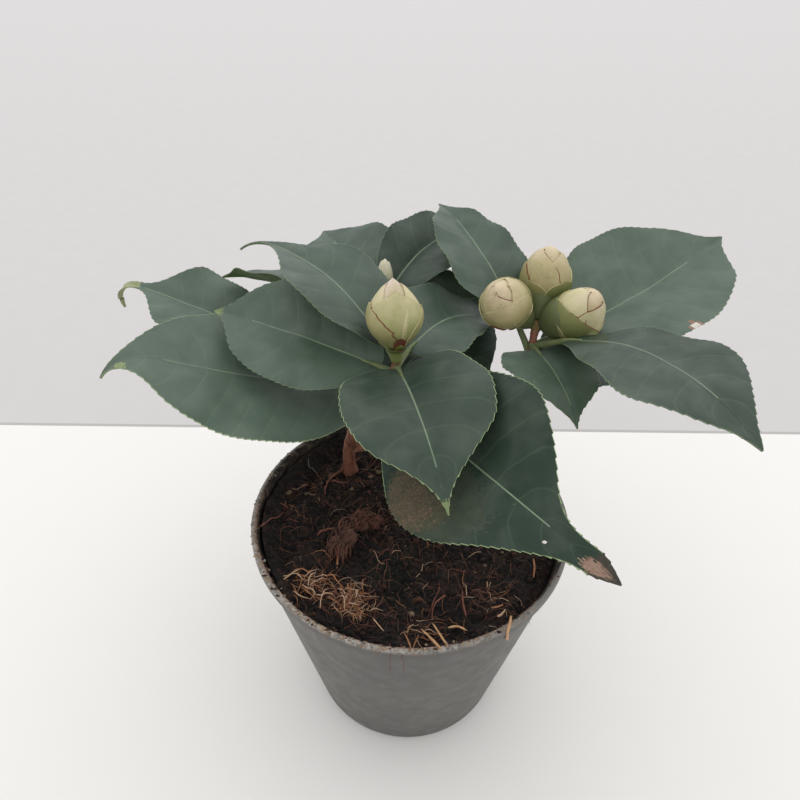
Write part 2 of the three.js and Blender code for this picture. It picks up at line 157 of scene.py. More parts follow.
# Leaves, by the same rule as the solids, with the toothed margin, ribs and relief added.
BLADE_FULLNESS = 0.68
CURL_POWER = 1.5
TIP_HALF_WIDTH = 0.25
MIDRIB_STEPS = 400
TOOTH_PITCH = 2.4
TOOTH_DEPTH = 0.45
TOOTH_STEPS = (0, 0.4, 0.8, 0.93)
TOOTH_PROFILE = (0, 0.4, 0.9, 1)
EDGE_STRIP = 0.22
RIB_HALF = 0.36
RIB_END = 0.76
BLADE_THICKNESS = 0.5
VEIN_SPACING = 9.5
PLAIN_LEAF = {
    "droop": 20, "roll": 0, "sway": 0, "stalk": 4, "curl": 0, "curl_from": 0.75, "broad": 0.8,
    "narrow": 0.7, "neck": 0.65, "neck_end": 1, "skew": 0, "fold": (12, 12), "tone": "deep",
    "edge": "edge", "columns": 16,
    "marks": [], "bulges": [],
}
MASSES = {
    "foliage_left": {
        "stem": [(-14.8, 12.8, 153.3), (-12, 9.5, 158), (-8, 4, 168), (-6, 1.5, 176)],
        "radii": (1.6, 1.4),
        "leaves": [
            {
                "from": (-6, 1.5, 174), "head": -75, "rise": 10, "length": 61, "width": 50,
                "droop": 44, "roll": -7, "stalk": 2, "broad": 0.76, "narrow": 0.87, "neck": 0.57,
                "fold": (18, 18), "tone": "deep", "edge": "edge_pale",
                "marks": [{"s": (1, 0.07), "u": (0, 2), "tone": "lime"}],
            },
            {
                "from": (-7.5, 2.5, 171), "head": 166, "rise": 18, "length": 66, "width": 44,
                "droop": 15, "roll": 28, "sway": -5, "broad": 0.86, "neck": 0.75, "tone": "lit_pale",
                "marks": [{"s": (1, 0.05), "u": (0, 2), "tone": "lime"}],
            },
            {
                "from": (-12, 10, 156), "head": 185, "rise": 10, "length": 99, "width": 60,
                "droop": -21, "roll": 13, "stalk": 2, "sway": 17, "curl": 87, "broad": 0.86,
                "narrow": 0.86, "neck": 0.68, "fold": (3, 4), "tone": "lit_pale", "edge": "edge_pale",
                "marks": [{"s": (0.91, 0.02), "u": (-0.6, 0.45), "tone": "lime", "ragged": 0.3}],
            },
            {
                "from": (-6.5, 3, 175.5), "head": 140, "rise": 47, "length": 74, "width": 43,
                "droop": 51, "roll": -5, "stalk": 6, "sway": 16, "curl": 36, "curl_from": 0.7,
                "broad": 0.96, "narrow": 0.93, "neck": 0.4, "neck_end": 0.85, "fold": (9, 9),
                "tone": "grey", "bulges": [(1, 0.3, 0.2, 0.8)],
            },
            {
                "from": (-6, 2, 174), "head": 54, "rise": 24, "length": 51, "width": 40,
                "droop": 60, "roll": -4, "stalk": 6.5, "sway": -24, "broad": 0.5, "neck": 0.8,
                "skew": -0.12, "fold": (15, 3), "tone": "grey", "bulges": [(-1, 0.7, 0.15, 3)],
            },
            {
                "from": (-11, 8.5, 160), "head": -59, "rise": 6, "length": 97, "width": 59,
                "droop": 3, "roll": -29, "stalk": 14, "sway": 4, "broad": 0.87, "narrow": 0.8,
                "neck": 0.35, "fold": (18, 0), "tone": "shaded", "edge": "edge_pale", "columns": 30,
                "bulges": [
                    (-1, 0.5, 0.12, 2), (-1, 0.76, 0.1, -3.5), (-1, 0.93, 0.05, 1.2),
                    (1, 0.93, 0.05, 1),
                ],
                "marks": [
                    {"s": (0.41, 0.2), "u": (0.6, 0.52), "tone": "tarnish", "top_only": True},
                    {"s": (0.36, 0.14), "u": (0.72, 0.34), "tone": "bronze", "top_only": True},
                    {"s": (0.35, 0.11), "u": (0.76, 0.26), "tone": "rust", "ragged": 0.3, "top_only": True},
                    {"s": (0.98, 0.07), "u": (0, 2), "tone": "brown", "ragged": 0.12},
                    {"s": (0.93, 0.045), "u": (0.3, 0.55), "tone": "dried", "ragged": 0.3, "share": 0.9},
                    {"s": (0.78, 0.007), "u": (0.5, 0.05), "tone": "chalk", "ragged": 0},
                ],
            },
        ],
        "buds": [
            {
                "at": (-6, 1.5, 176), "lean": (-1, 1.5, 20), "stalk": 4, "length": 27,
                "width": 19.5, "lowness": 0.95, "fullness": 1, "heart": "heart", "scales": "tall",
            },
        ],
        "behind": {
            "count": 2, "along": (0.3, 0.6), "head": (60, 120), "rise": 10, "length": 50,
            "width": 32, "kept": (0,),
        },
    },
    "foliage_right": {
        "stem": [
            (31.4, 27.9, 137.2), (38, 26, 146), (43.5, 23.5, 158), (45, 22, 169), (46, 24, 178),
        ],
        "radii": (1.7, 1.4),
        "leaves": [
            {
                "from": (44.5, 22.5, 168), "head": 125, "rise": 47, "length": 58, "width": 36,
                "droop": 41, "stalk": 18, "sway": -6, "broad": 0.66, "neck": 0.76, "skew": -0.13,
                "tone": "grey",
            },
            {
                "from": (45, 21.5, 171), "head": -69, "rise": 1, "length": 39, "width": 36,
                "droop": 26, "roll": 3, "stalk": 3, "sway": -15, "broad": 0.57, "narrow": 0.8,
                "neck": 0.6, "skew": 0.11, "fold": (10, 10), "tone": "lit_pale",
            },
            {
                "from": (45, 22, 170), "head": -50, "rise": 34, "length": 80, "width": 46,
                "droop": 60, "roll": -7, "stalk": 15, "sway": -16, "broad": 1.3, "neck": 0.64,
                "skew": 0.08, "fold": (-6, 8), "tone": "deep",
            },
            {
                "from": (45, 22.5, 170), "head": 17, "rise": 18, "length": 74, "width": 64,
                "droop": -10, "roll": -7, "stalk": 13, "sway": 11, "broad": 0.86, "neck": 0.8,
                "fold": (15, 12), "tone": "lit_pale",
                "marks": [
                    {"s": (0.45, 0.03), "u": (1, 0.12), "tone": "dried"},
                    {"s": (0.45, 0.012), "u": (1, 0.08), "tone": "chalk"},
                ],
            },
        ],
        "buds": [
            {
                "at": (46, 24, 177), "lean": (-13.5, -2.5, 12.4), "stalk": 7.8, "length": 21,
                "width": 19, "crown": (-0.4, -0.5, 0.8), "scales": "round", "cup": (3, 2, 13, 6),
            },
            {
                "at": (46, 24, 177), "lean": (4, 13, 15), "stalk": 9, "length": 23,
                "width": 20, "fullness": 0.52, "crown": (0.02, 0.1, 1), "scales": "seamed",
                "cup": (3, 2, 14, 6),
            },
            {
                "at": (46, 24, 177), "lean": (13, -3.5, 8), "stalk": 5.5, "length": 22.5,
                "width": 20, "crown": (0.4, -0.25, 0.88), "scales": "torn", "cup": (2.5, 3, 12, 8.6),
            },
        ],
        "behind": {
            "count": 2, "along": (0.35, 0.6), "head": (2, 20), "rise": 15, "length": 58,
            "width": 34, "kept": (0, 1),
        },
    },
    "foliage_back": {
        "stem": [(-18.3, 30.4, 149.5), (-15, 37, 165), (-11.5, 42, 180)],
        "radii": (1.5, 1.2),
        "leaves": [
            {
                "from": (-14.5, 37.5, 166), "head": 157, "rise": 25, "length": 60, "width": 33,
                "droop": 39, "roll": -22, "stalk": 15, "sway": 3, "broad": 1.1, "fold": (15, 15),
                "tone": "dark",
            },
            {
                "from": (-13, 40, 172), "head": 118, "rise": 28, "length": 52, "width": 46,
                "droop": 31, "roll": 13, "stalk": 10, "broad": 0.73, "tone": "grey",
            },
            {
                "from": (-11.5, 42, 178), "head": 60, "rise": 32, "length": 60, "width": 37,
                "droop": 44, "roll": -11, "stalk": 5, "sway": -20, "neck": 0.7, "skew": 0.14,
                "fold": (26, 22), "tone": "deep",
            },
            {
                "from": (-14.6, 37.8, 167), "head": -22, "rise": 8, "length": 45, "width": 46,
                "droop": 40, "roll": 3, "stalk": 7, "sway": -15, "broad": 0.89, "neck": 0.77,
                "skew": -0.24, "fold": (14, 16), "tone": "shaded",
            },
            # A small leaf in the shadow of the others, on a twig that the solids leave out.
            {
                "from": (-12.5, 41, 174), "head": 6, "rise": 12, "length": 42, "width": 25,
                "droop": 16, "roll": -45, "stalk": 6, "tone": "deep",
            },
        ],
        "buds": [
            {
                "at": (-11.5, 42, 180), "lean": (0.2, 4, 10), "stalk": 2.6, "length": 12.6,
                "width": 6.6, "heart": "chip", "scales": "small",
            },
        ],
        "behind": {
            "count": 4, "along": (0.1, 0.6), "head": (60, 160), "rise": 4, "length": 66,
            "width": 42, "kept": (1, 2, 3),
        },
    },
    "foliage_low_left": {
        "stem": [(-24.3, 24.5, 124), (-31, 30, 136), (-40, 37.5, 145.5), (-48, 43.5, 152)],
        "radii": (1.5, 1.2),
        "leaves": [
            {
                "from": (-47, 43, 151), "head": 169, "rise": 26, "length": 91, "width": 39,
                "droop": 19, "roll": 12, "sway": -6, "curl": 132, "curl_from": 0.76, "broad": 1.1,
                "narrow": 0.86, "neck": 0.55, "neck_end": 0.78, "fold": (13, 13), "tone": "lit_pale",
                "bulges": [(-1, 0.92, 0.07, 1.3), (1, 0.92, 0.07, 1.3)],
                "marks": [{"s": (0.95, 0.17), "u": (0, 3), "tone": "pale_lime", "ragged": 0.05}],
            },
        ],
        "buds": [],
        "behind": {
            "count": 3, "along": (0.3, 0.8), "head": (110, 200), "rise": 0, "length": 58,
            "width": 38, "kept": (0, 1, 2),
        },
    },
}
GOLDEN_ANGLE = 137.5
SEED = 7
RANDOM_FACTOR = 16807
RANDOM_LIMIT = 2147483647
RISE_VARIES = 6
LENGTH_VARIES = 0.12
WIDTH_VARIES = 0.1
BEHIND_DROOP = 28
DROOP_VARIES = 8
BEHIND_STALK = 6

# Buds: how low and how full the plain one is, and the way their zero turn faces.
PLAIN_BUD = {"lowness": 0.8, "fullness": 0.6, "heart": "round"}
BUD_FACING = (0, -0.8, 0.6)
BUD_SHRINK = 0.94
SCALE_THICKNESS = 0.5
RIM_WIDTH = 0.028
HEART_ROWS = 30
HEART_SIDES = 40
CUP_STEPS = 16
CUP_SIDES = 28


def linear_light(red, green, blue):
    """A colour given as 0 to 255 a channel, in the renderer's linear light."""
    def linear(channel):
        share = channel / 255
        return share / 12.92 if share <= 0.04045 else ((share + 0.055) / 1.055) ** 2.4
    return (linear(red), linear(green), linear(blue), 1.0)


def smoothstep(value, low, high):
    t = np.clip((np.asarray(value, float) - low) / (high - low), 0, 1)
    return t * t * (3 - 2 * t)


def unit(vectors):
    vectors = np.asarray(vectors, float)
    return vectors / np.linalg.norm(vectors, axis=-1, keepdims=True)


def noise_at(points, span, seed, octaves=3):
    """Smooth noise, about -1 to 1, at each point, with features about one span across."""
    shift = Vector((17.3 * seed, -9.1 * seed, 5.7 * seed))
    flat = np.asarray(points, float).reshape(-1, 3)
    values = [noise.fractal(Vector(p) / span + shift, 0.6, 2.0, octaves) for p in flat]
    return np.array(values).reshape(np.asarray(points).shape[:-1])


def catmull_rom(points, shares):
    """Points on a smooth centripetal curve through the given ones, as the source draws it."""
    given = [Vector(p) for p in points]
    first = given[0] + (given[0] - given[1])
    last = given[-1] + (given[-1] - given[-2])
    chain = [first, *given, last]
    spans = len(given) - 1
    placed = []
    for share in shares:
        span = min(int(share * spans), spans - 1)
        t = share * spans - span
        p0, p1, p2, p3 = chain[span:span + 4]
        k0 = max((p1 - p0).length ** 0.5, 1e-6)
        k1 = max((p2 - p1).length ** 0.5, 1e-6)
        k2 = max((p3 - p2).length ** 0.5, 1e-6)
        m1 = ((p1 - p0) / k0 - (p2 - p0) / (k0 + k1) + (p2 - p1) / k1) * k1
        m2 = ((p2 - p1) / k1 - (p3 - p1) / (k1 + k2) + (p3 - p2) / k2) * k1
        placed.append(
            (2 * p1 - 2 * p2 + m1 + m2) * t ** 3 + (3 * p2 - 3 * p1 - 2 * m1 - m2) * t ** 2 + m1 * t + p1
        )
    return np.array(placed)


def ring_faces(rows, sides):
    """The quads between rings of points, row by row."""
    i, j = np.meshgrid(np.arange(rows - 1), np.arange(sides), indexing="ij")
    a = i * sides + j
    b = i * sides + (j + 1) % sides
    return np.stack([a, b, b + sides, a + sides], axis=-1).reshape(-1, 4).tolist()


def tube_faces(rows, sides):
    """The quads of a tube of rings, and then the cap at each of its ends."""
    faces = ring_faces(rows, sides)
    faces.append(list(range(sides))[::-1])
    faces.append([(rows - 1) * sides + k for k in range(sides)])
    return faces


def sheet_faces(rows, columns):
    """The quads of a thin sheet whose rings run over its top and back underneath, and then the
    strips that close its two ends."""
    faces = ring_faces(rows, 2 * columns)
    for row in (0, rows - 1):
        for j in range(columns - 1):
            a = row * 2 * columns + j
            b = row * 2 * columns + 2 * columns - 1 - j
            strip = [a, a + 1, b - 1, b]
            faces.append(strip if row else strip[::-1])
    return faces


class Builder:
    """Collects closed shells of faces, each face with its material's number, into one object."""

    def __init__(self):
        self.points = []
        self.faces = []
        self.tones = []
        self.spots = []
        self.count = 0

    def add(self, points, faces, tones, spots=None):
        """Adds a shell, turned so that its faces look outwards. Spots are its places on the material."""
        points = np.asarray(points, float).reshape(-1, 3)
        corners = [(f[0], f[k], f[k + 1]) for f in faces for k in range(1, len(f) - 1)]
        first, second, third = np.moveaxis(points[np.array(corners)], 1, 0)
        if np.sum(first * np.cross(second, third)) < 0:
            faces = [f[::-1] for f in faces]
        self.points.append(points)
        self.faces.extend([[v + self.count for v in f] for f in faces])
        self.tones.append(np.broadcast_to(np.asarray(tones), len(faces)))
        self.spots.append(np.zeros((len(points), 2)) if spots is None else np.asarray(spots, float))
        self.count += len(points)

    def make(self, name, materials, slot, *nodes):
        mesh = bpy.data.meshes.new(name)
        mesh.from_pydata(np.concatenate(self.points) * MM, [], self.faces)
        for material in materials:
            mesh.materials.append(material)
        mesh.polygons.foreach_set("material_index", np.concatenate(self.tones).astype(np.int32))
        mesh.polygons.foreach_set("use_smooth", np.ones(len(self.faces), bool))
        corners = np.empty(len(mesh.loops), np.int32)
        mesh.loops.foreach_get("vertex_index", corners)
        layer = mesh.uv_layers.new(name="spot")
        layer.data.foreach_set("uv", np.concatenate(self.spots)[corners].ravel().astype(np.float32))
        mesh.update()
        piece = bpy.data.objects.new(name, mesh)
        bpy.context.scene.collection.objects.link(piece)
        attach(piece, "root")
        if nodes:
            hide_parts(*nodes)
        return piece


def ring_frames(path):
    """Two directions across a path at each of its points, turned as little as possible along it."""
    ahead = unit(np.gradient(path, axis=0))
    side = unit(np.cross(ahead[0], (0, 1, 0.1)))
    sides = []
    for direction in ahead:
        side = unit(side - direction * np.dot(side, direction))
        sides.append(side)
    sides = np.array(sides)
    return sides, np.cross(ahead, sides)


def add_tube(builder, path, radii, sides, tone, relief=None):
    """A closed tube along a path. Relief gives extra radius from the angles and the rows."""
    path = np.asarray(path, float)
    radii = np.broadcast_to(np.asarray(radii, float), len(path))
    across, other = ring_frames(path)
    angles = np.arange(sides) * 2 * np.pi / sides
    wide = np.repeat(radii[:, None], sides, axis=1)
    if relief is not None:
        wide = wide + relief(angles, path)
    points = (
        path[:, None, :]
        + across[:, None, :] * (wide * np.cos(angles))[..., None]
        + other[:, None, :] * (wide * np.sin(angles))[..., None]
    )
    builder.add(points, tube_faces(len(path), sides), tone)


def add_lump(builder, centre, size, tone, seed, rough=0.35):
    """A small rough clod: a faceted ball pushed about by noise."""
    tilt = np.pi * (np.arange(LUMP_ROWS) + 0.5) / LUMP_ROWS
    turn = 2 * np.pi * np.arange(LUMP_SIDES) / LUMP_SIDES
    ball = np.stack([
        np.sin(tilt)[:, None] * np.cos(turn), np.sin(tilt)[:, None] * np.sin(turn),
        np.repeat(np.cos(tilt)[:, None], LUMP_SIDES, axis=1),
    ], axis=-1)
    push = 1 + rough * noise_at(ball + seed, 0.9, seed % 50, 1)
    points = np.asarray(centre) + ball * push[..., None] * np.asarray(size)
    builder.add(points, tube_faces(LUMP_ROWS, LUMP_SIDES), tone)


class Finish:
    """A material with one Principled shader, and short calls for the nodes that feed it. Its
    colours are given as 0 to 255 a channel."""

    def __init__(self, name, colour, roughness, **constants):
        self.material = bpy.data.materials.new(name)
        self.material.use_nodes = True
        self.tree = self.material.node_tree
        self.shader = self.tree.nodes["Principled BSDF"]
        self.shader.inputs["Base Color"].default_value = linear_light(*colour)
        self.shader.inputs["Roughness"].default_value = roughness
        for label, value in constants.items():
            self.shader.inputs[label.replace("_", " ")].default_value = value
        self.material.diffuse_color = linear_light(*colour)

    def node(self, kind, **inputs):
        """A node whose inputs are given by name or number as a value or as another node's output."""
        made = self.tree.nodes.new(kind)
        for label, value in inputs.items():
            socket = made.inputs[int(label[1:]) if label[0] == "_" else label.replace("_", " ")]
            if isinstance(value, bpy.types.NodeSocket):
                self.tree.links.new(value, socket)
            else:
                socket.default_value = value
        return made

    def place(self):
        return self.node("ShaderNodeTexCoord").outputs["Object"]

    def place_along(self, axis):
        return self.node("ShaderNodeSeparateXYZ", Vector=self.place()).outputs[axis]

    def spot(self):
        """The two coordinates that a mesh gives each of its points, along x and y."""
        layer = self.node("ShaderNodeUVMap")
        layer.uv_map = "spot"
        return self.node("ShaderNodeSeparateXYZ", Vector=layer.outputs["UV"])

    def grain(self, span, detail=3, stretch=(1, 1, 1), distortion=0.0):
        """Noise, 0 to 1, with features of one span in millimetres."""
        placed = self.node("ShaderNodeMapping", Vector=self.place(), Scale=stretch)
        made = self.node(
            "ShaderNodeTexNoise", Vector=placed.outputs["Vector"], Scale=1 / (span * MM), Detail=detail,
            Distortion=distortion,
        )
        return made.outputs["Fac"]

    def specks(self, span, radius, share):
        """Small round specks, 0 or 1: one to each cell of a span, kept for a share of the cells."""
        cells = self.node("ShaderNodeTexVoronoi", Vector=self.place(), Scale=1 / (span * MM))
        near = self.sum("LESS_THAN", cells.outputs["Distance"], radius / span)
        picked = self.node("ShaderNodeSeparateColor", Color=cells.outputs["Color"]).outputs["Red"]
        return self.sum("MULTIPLY", near, self.sum("LESS_THAN", picked, share))

    def ranged(self, value, low, high, new_low=0.0, new_high=1.0):
        made = self.node("ShaderNodeMapRange", Value=value)
        made.inputs["From Min"].default_value = low
        made.inputs["From Max"].default_value = high
        made.inputs["To Min"].default_value = new_low
        made.inputs["To Max"].default_value = new_high
        return made.outputs["Result"]

    def sum(self, operation, first, second=0.0):
        made = self.node("ShaderNodeMath", _0=first, _1=second)
        made.operation = operation
        return made.outputs["Value"]

    def ramp(self, value, *stops):
        """Colours along a value: each stop is its place and its colour."""
        made = self.node("ShaderNodeValToRGB", Fac=value)
        elements = made.color_ramp.elements
        while len(elements) < len(stops):
            elements.new(0.5)
        for element, (position, colour) in zip(elements, stops):
            element.position = position
            element.color = linear_light(*colour)
        return made.outputs["Color"]

    def mix(self, share, first, second):
        made = self.tree.nodes.new("ShaderNodeMix")
        made.data_type = "RGBA"
        for label, value in (("Factor", share), ("A", first), ("B", second)):
            kind = "VALUE" if label == "Factor" else "RGBA"
            socket = next(s for s in made.inputs if s.name == label and s.type == kind)
            if isinstance(value, bpy.types.NodeSocket):
                self.tree.links.new(value, socket)
            else:
                socket.default_value = linear_light(*value)
        return next(s for s in made.outputs if s.type == "RGBA")

    def cover(self, body, share, most, colour):
        """The body with a colour laid over it by a share, and at most by so much."""
        return self.mix(self.sum("MULTIPLY", share, most), body, colour)

    def colour(self, value):
        self.tree.links.new(value, self.shader.inputs["Base Color"])

    def roughness(self, value):
        self.tree.links.new(value, self.shader.inputs["Roughness"])

    def patchy_roughness(self, span, detail, least, most):
        self.roughness(self.ranged(self.grain(span, detail), 0.3, 0.7, least, most))

    def bump(self, height, distance, strength=1.0):
        """Relief of one distance in millimetres from a height of 0 to 1."""
        made = self.node("ShaderNodeBump", Height=height, Distance=distance * MM, Strength=strength)
        self.tree.links.new(made.outputs["Normal"], self.shader.inputs["Normal"])


def leaf_finish(name, dark, light, dust, sheen=0.5):
    """A leathery green blade: cloudy patches, faint side veins drawn on the blade's own
    coordinates, a bloom of dust and a few pale specks."""
    finish = Finish(name, dark, 0.5, Specular_IOR_Level=sheen)
    spot = finish.spot()
    outward = finish.sum("ABSOLUTE", spot.outputs["X"])
    bend = finish.sum("MULTIPLY", outward, finish.sum("MULTIPLY_ADD", outward, 0.55))
    order = finish.sum("SUBTRACT", spot.outputs["Y"], bend)
    wobble = finish.ranged(finish.grain(14, 2), 0, 1, -0.2, 0.2)
    share = finish.sum("FRACT", finish.sum("ADD", order, wobble))
    apart = finish.sum("ABSOLUTE", finish.sum("SUBTRACT", share, 0.5))
    vein = finish.ranged(apart, 0.0, 0.06, 1.0, 0.0)
    cloud = finish.ranged(finish.grain(15, 5, distortion=0.8), 0.32, 0.68)
    body = finish.mix(cloud, dark, light)
    bloom = finish.ranged(finish.grain(11, 6, distortion=0.3), 0.45, 0.8, 0, 0.12)
    body = finish.mix(bloom, body, dust)
    body = finish.cover(body, vein, 0.07, (128, 146, 112))
    finish.colour(finish.cover(body, finish.specks(4.5, 0.2, 0.2), 0.4, dust))
    finish.patchy_roughness(6, 4, 0.44, 0.58)
    grain = finish.sum("MULTIPLY", finish.grain(0.9, 3), 0.35)
    finish.bump(finish.sum("SUBTRACT", grain, finish.sum("MULTIPLY", vein, 0.3)), 0.2, 0.5)
    return finish.material


def plain_finish(name, dark, light, span, roughness, bump=0.1, **constants):
    """A surface of one hue: broad and fine noise in its colour, gloss and relief."""
    finish = Finish(name, dark, roughness, **constants)
    broad = finish.ranged(finish.grain(span, 4, distortion=0.4), 0.3, 0.7)
    finish.colour(finish.mix(broad, dark, light))
    finish.patchy_roughness(span / 2, 3, roughness - 0.08, roughness + 0.08)
    finish.bump(finish.grain(span / 5, 4), bump)
    return finish.material


def freckled_finish(name, dark, light, freckle):
    """A tarnished patch of a leaf: cloudy, with fine rusty freckles of two sizes."""
    finish = Finish(name, dark, 0.62, Specular_IOR_Level=0.22)
    body = finish.mix(finish.ranged(finish.grain(2.5, 4, distortion=0.6), 0.3, 0.7), dark, light)
    for span, radius, share in ((1.1, 0.28, 0.8), (0.7, 0.18, 0.8)):
        body = finish.cover(body, finish.specks(span, radius, share), 0.7, freckle)
    finish.colour(body)
    finish.patchy_roughness(1.5, 3, 0.55, 0.75)
    finish.bump(finish.grain(0.8, 3), 0.08)
    return finish.material


def bark_finish(name, dark, light):
    """Thin bark with darker and lighter streaks along the limb, and relief in the same streaks."""
    finish = Finish(name, dark, 0.72)
    streak = finish.grain(2.2, 5, stretch=(1, 1, 0.3), distortion=0.8)
    finish.colour(finish.mix(finish.ranged(streak, 0.35, 0.68), dark, light))
    finish.patchy_roughness(1.5, 3, 0.6, 0.85)
    finish.bump(streak, 0.4, 0.8)
    return finish.material


def bud_finish(name, foot, middle, top, tip):
    """A bud's scale: green at its foot, cream above, flushed at its tip, with fine streaks."""
    finish = Finish(name, middle, 0.55, Specular_IOR_Level=0.35, Subsurface_Weight=0.06)
    finish.shader.inputs["Subsurface Radius"].default_value = (0.003, 0.002, 0.001)
    spot = finish.spot()
    streak = finish.grain(1.4, 4, stretch=(1, 1, 0.3))
    blotch = finish.grain(5, 3)
    height = finish.sum("ADD", spot.outputs["Y"], finish.ranged(streak, 0, 1, -0.06, 0.06))
    height = finish.sum("ADD", height, finish.ranged(blotch, 0.2, 0.8, -0.16, 0.16))
    body = finish.ramp(height, (0.1, foot), (0.45, middle), (0.8, top), (1.0, tip))
    fleck = finish.ranged(finish.grain(1.0, 3), 0.62, 0.72)
    finish.colour(finish.cover(body, fleck, 0.3, (112, 92, 60)))
    finish.patchy_roughness(2, 3, 0.48, 0.64)
    finish.bump(streak, 0.1, 0.6)
    return finish.material


def front_left(finish):
    """How far a place lies towards the pot's front left, where its rim is dirtiest: 0 to 1."""
    place = finish.node("ShaderNodeSeparateXYZ", Vector=finish.place())
    toward = finish.sum("ADD", finish.sum("MULTIPLY", place.outputs["X"], -0.5),
                        finish.sum("MULTIPLY", place.outputs["Y"], -0.87))
    return finish.ranged(toward, 0.01, 0.05)


def pot_finish():
    """Satin grey plastic with fine scuffs, dirt round its foot, and a rim whose top is lighter all
    round, partly wear and partly a painted highlight, and limed and stained on its front left."""
    finish = Finish("nursery_pot_plastic", (84, 84, 81), 0.5, Specular_IOR_Level=0.5)
    cloud = finish.ranged(finish.grain(34, 4, distortion=0.5), 0.3, 0.72)
    body = finish.mix(cloud, (84, 82, 79), (93, 90, 86))
    scuff = finish.ranged(finish.grain(2.6, 6, stretch=(1, 1, 0.08), distortion=1.5), 0.66, 0.76)
    body = finish.cover(body, scuff, 0.1, (136, 134, 128))
    height = finish.place_along("Z")
    low = finish.ranged(height, 0.0005, 0.004, 1.0, 0.0)
    dirt = finish.sum("MULTIPLY", low, finish.ranged(finish.grain(2.4, 4), 0.48, 0.62))
    body = finish.mix(dirt, body, (38, 33, 30))
    # The rim's top is painted lighter all round: partly wear, partly a painted highlight on its upturned
    # face.
    rim_top = finish.ranged(height, 0.1035, 0.1048)
    body = finish.cover(body, rim_top, 0.5, (126, 123, 116))
    limed = finish.sum("MULTIPLY", rim_top, finish.ranged(finish.grain(2.2, 6, distortion=1.2), 0.42, 0.56))
    limed = finish.sum("MULTIPLY", limed, front_left(finish))
    body = finish.cover(body, limed, 0.6, (186, 176, 168))
    stained = finish.ranged(height, 0.1, 0.1035)
    stained = finish.sum("MULTIPLY", stained, finish.ranged(finish.grain(4, 5, distortion=0.8), 0.52, 0.64))
    stained = finish.sum("MULTIPLY", stained, front_left(finish))
    finish.colour(finish.cover(body, stained, 0.5, (108, 84, 66)))
    finish.patchy_roughness(6, 4, 0.42, 0.58)
    finish.bump(finish.grain(1.1, 4), 0.04, 0.5)
    return finish.material


def pot_inside_finish():
    """The wall above the soil: near black, far darker than the pot's outside, mottled with dark brown, with a
    tan crust near the rim.
    """
    finish = Finish("nursery_pot_inside", (30, 27, 26), 0.7, Specular_IOR_Level=0.35)
    mottle = finish.ranged(finish.grain(4, 6, distortion=0.8), 0.35, 0.7)
    body = finish.mix(mottle, (24, 22, 22), (52, 42, 37))
    height = finish.place_along("Z")
    high = finish.ranged(height, 0.0995, 0.104)
    crust = finish.sum("MULTIPLY", high, finish.ranged(finish.grain(2.2, 5, distortion=0.8), 0.5, 0.62))
    body = finish.cover(body, crust, 0.6, (122, 104, 86))
    caked = finish.sum("MULTIPLY", finish.ranged(height, 0.1025, 0.1042), front_left(finish))
    caked = finish.sum("MULTIPLY", caked, finish.ranged(finish.grain(3, 6, distortion=1.2), 0.36, 0.54))
    finish.colour(finish.cover(body, caked, 0.9, (162, 136, 120)))
    finish.roughness(finish.ranged(mottle, 0, 1, 0.55, 0.9))
    finish.bump(mottle, 0.3, 0.6)
    return finish.material


def soil_finish(name, dark, light):
    """Damp peat: near black, with lighter crumbs and a very rough surface."""
    finish = Finish(name, dark, 0.9, Specular_IOR_Level=0.3)
    crumb = finish.ranged(finish.grain(1.6, 6, distortion=0.8), 0.42, 0.72)
    finish.colour(finish.mix(crumb, dark, light))
    finish.patchy_roughness(2.4, 4, 0.8, 1.0)
    finish.bump(finish.grain(0.8, 6), 0.8, 0.9)
    return finish.material


def wall_at(z):
    return BASE_RADIUS + POT_SLOPE * z


def inner_wall(z):
    return wall_at(z) - WALL


def soil_height(x, y):
    """The soil's lumpy top as the solids have it, level where the trunk stands."""
    broad = np.sin(x / LUMP_SPAN_X + 1) * np.cos(y / LUMP_SPAN_Y)
    small = np.sin(x / SMALL_SPAN_X - y / SMALL_SPAN_Y)
    from_trunk = np.hypot(x - TRUNK_FOOT[0], y - TRUNK_FOOT[1])
    level = smoothstep(from_trunk, FLAT_PATCH, FLAT_FADE)
    return SOIL_LEVEL + (SOIL_LUMP * broad + SMALL_LUMP * small) * level


def soil_top(x, y):
    """The finished height: the solid's lumps with roughness of two sizes on them, and soil banked up along
    the wall, higher towards the back left.
    """
    spots = np.stack([x, y, np.zeros_like(x)], axis=-1)
    rough = 1.5 * noise_at(spots, 8, 1, 3) + 0.9 * noise_at(spots, 2.6, 2, 2)
    from_wall = inner_wall(SOIL_LEVEL) - np.hypot(x, y)
    leftward = smoothstep(y - x, -30, 40)
    banked = SOIL_BANK[0] + (SOIL_BANK[1] - SOIL_BANK[0]) * leftward
    banked = banked * (1 - smoothstep(from_wall, 0, BANK_WIDTH))
    return soil_height(x, y) + rough + banked


def camera_turns():
    """The camera's right, its up and the way it looks."""
    pitch, roll = math.radians(CAMERA_PITCH), math.radians(CAMERA_ROLL)
    ahead = Vector((0, math.cos(pitch), -math.sin(pitch)))
    right = Vector((1, 0, 0))
    upward = right.cross(ahead)
    return (
        right * math.cos(roll) + upward * math.sin(roll),
        upward * math.cos(roll) - right * math.sin(roll),
        ahead,
    )


def seen_at(pixel, height):
    """The place at a height that the photograph shows at one of its pixels."""
    right, upward, ahead = camera_turns()
    focal = PHOTO_SIDE * CAMERA_LENS / CAMERA_SENSOR
    ray = ahead * focal + right * (pixel[0] - PHOTO_SIDE / 2) + upward * (PHOTO_SIDE / 2 - pixel[1])
    camera = Vector(CAMERA_PLACE)
    return camera + ray * ((height - camera.z) / ray.z)


def seen_on_soil(pixel, above=0):
    """Where over the soil, as x and y, the photograph shows something that lies that far above it."""
    height = SOIL_LEVEL
    for _ in range(4):
        place = seen_at(pixel, height)
        height = float(soil_top(np.array(place.x), np.array(place.y))) + above
    return place.x, place.y


